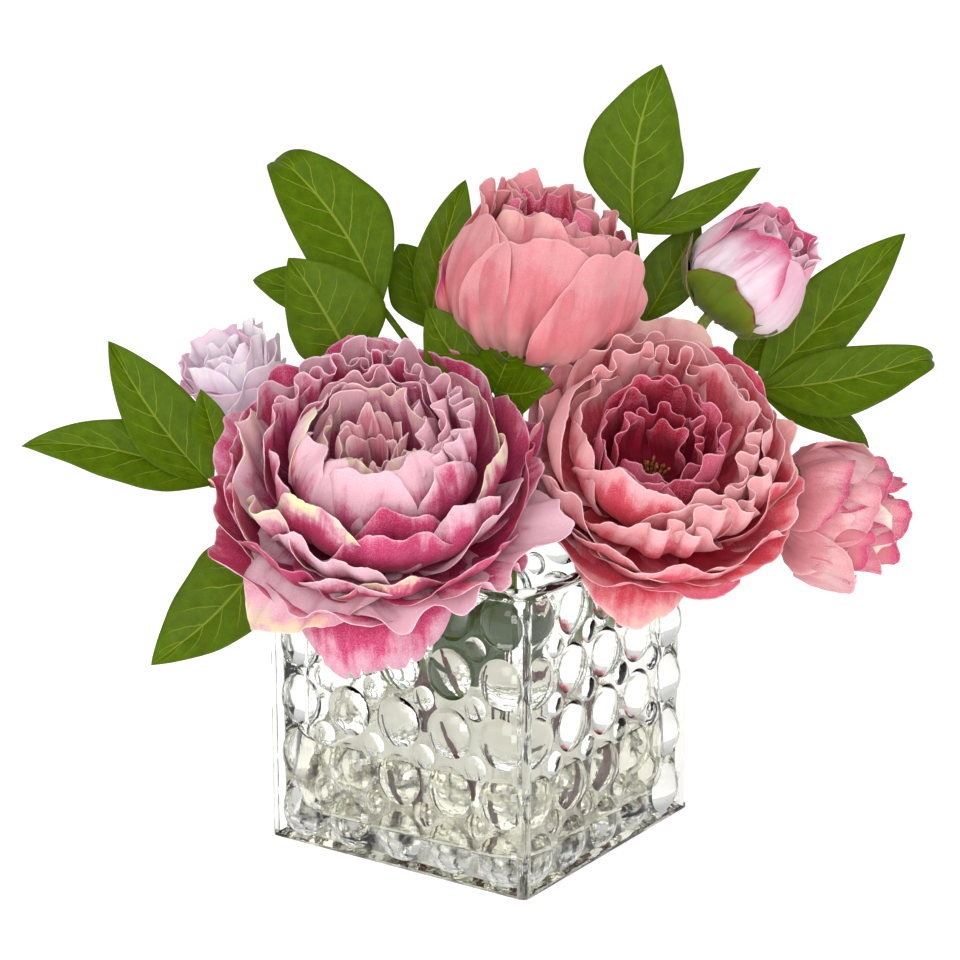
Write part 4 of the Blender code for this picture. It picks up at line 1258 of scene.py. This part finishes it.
pale_floor = new_finish("pale_floor", {
    "Base Color": (0.93, 0.93, 0.93, 1.0), "Roughness": 0.9, "Specular IOR Level": 0.1,
    "Emission Color": (1.0, 1.0, 1.0, 1.0), "Emission Strength": 0.55,
})[0]
floor_data.materials.append(pale_floor)

view_right = Vector((math.cos(VIEW_TURN), math.sin(VIEW_TURN), 0))
view_back = Vector((math.sin(VIEW_TURN), -math.cos(VIEW_TURN), 0)) * math.cos(VIEW_LIFT)
view_back.z = math.sin(VIEW_LIFT)
view_up = view_back.cross(view_right)
aim = (view_right * AIM_RIGHT + view_up * AIM_UP) * vase_side
lens = bpy.data.cameras.new("camera")
lens.lens = 97.93
lens.sensor_width = 36
lens.clip_end = 60
camera = bpy.data.objects.new("camera", lens)
bpy.context.collection.objects.link(camera)
turned = Matrix((view_right, view_up, view_back)).transposed().to_4x4()
camera.matrix_world = Matrix.Translation(aim + view_back * (CAMERA_BACK * vase_side)) @ turned
bpy.context.scene.camera = camera


def soft_box(name, right, up, back, size, power):
    """A square soft light at this place seen from the camera, turned to the flowers."""
    lamp = bpy.data.lights.new(name, "AREA")
    lamp.size = size
    lamp.energy = power
    light = bpy.data.objects.new(name, lamp)
    bpy.context.collection.objects.link(light)
    level_back = Vector((view_back.x, view_back.y, 0)).normalized()
    spot = view_right * right + Vector((0, 0, up)) + level_back * back
    facing = (spot - Vector((0, 0, FLOWERS_HIGH))).to_track_quat("Z", "Y").to_matrix().to_4x4()
    light.matrix_world = Matrix.Translation(spot) @ facing


soft_box("key_light", -0.8, 1.2, 1.3, 0.9, 8)
soft_box("fill_light", 1.3, 0.8, 1.2, 0.8, 4)
soft_box("front_light", 0.0, 0.6, 1.9, 0.8, 15)
soft_box("back_light", 0.2, 1.4, -1.3, 0.9, 3)
sky = bpy.data.worlds.new("studio_sky")
sky.use_nodes = True
tree = sky.node_tree
upward = put(tree, "SeparateXYZ", {0: put(tree, "TexCoord").outputs["Generated"]}).outputs[2]
glow = stain(tree, fade(tree, upward, 0.02, 0.4), (0.72, 0.73, 0.72, 1.0), (0.5, 0.5, 0.5, 1.0))
tree.links.new(glow, tree.nodes["Background"].inputs[0])
studio = bpy.context.scene
studio.world = sky
studio.view_settings.view_transform = "Standard"
studio.cycles.max_bounces = 18
studio.cycles.transmission_bounces = 18
studio.cycles.diffuse_bounces = 5
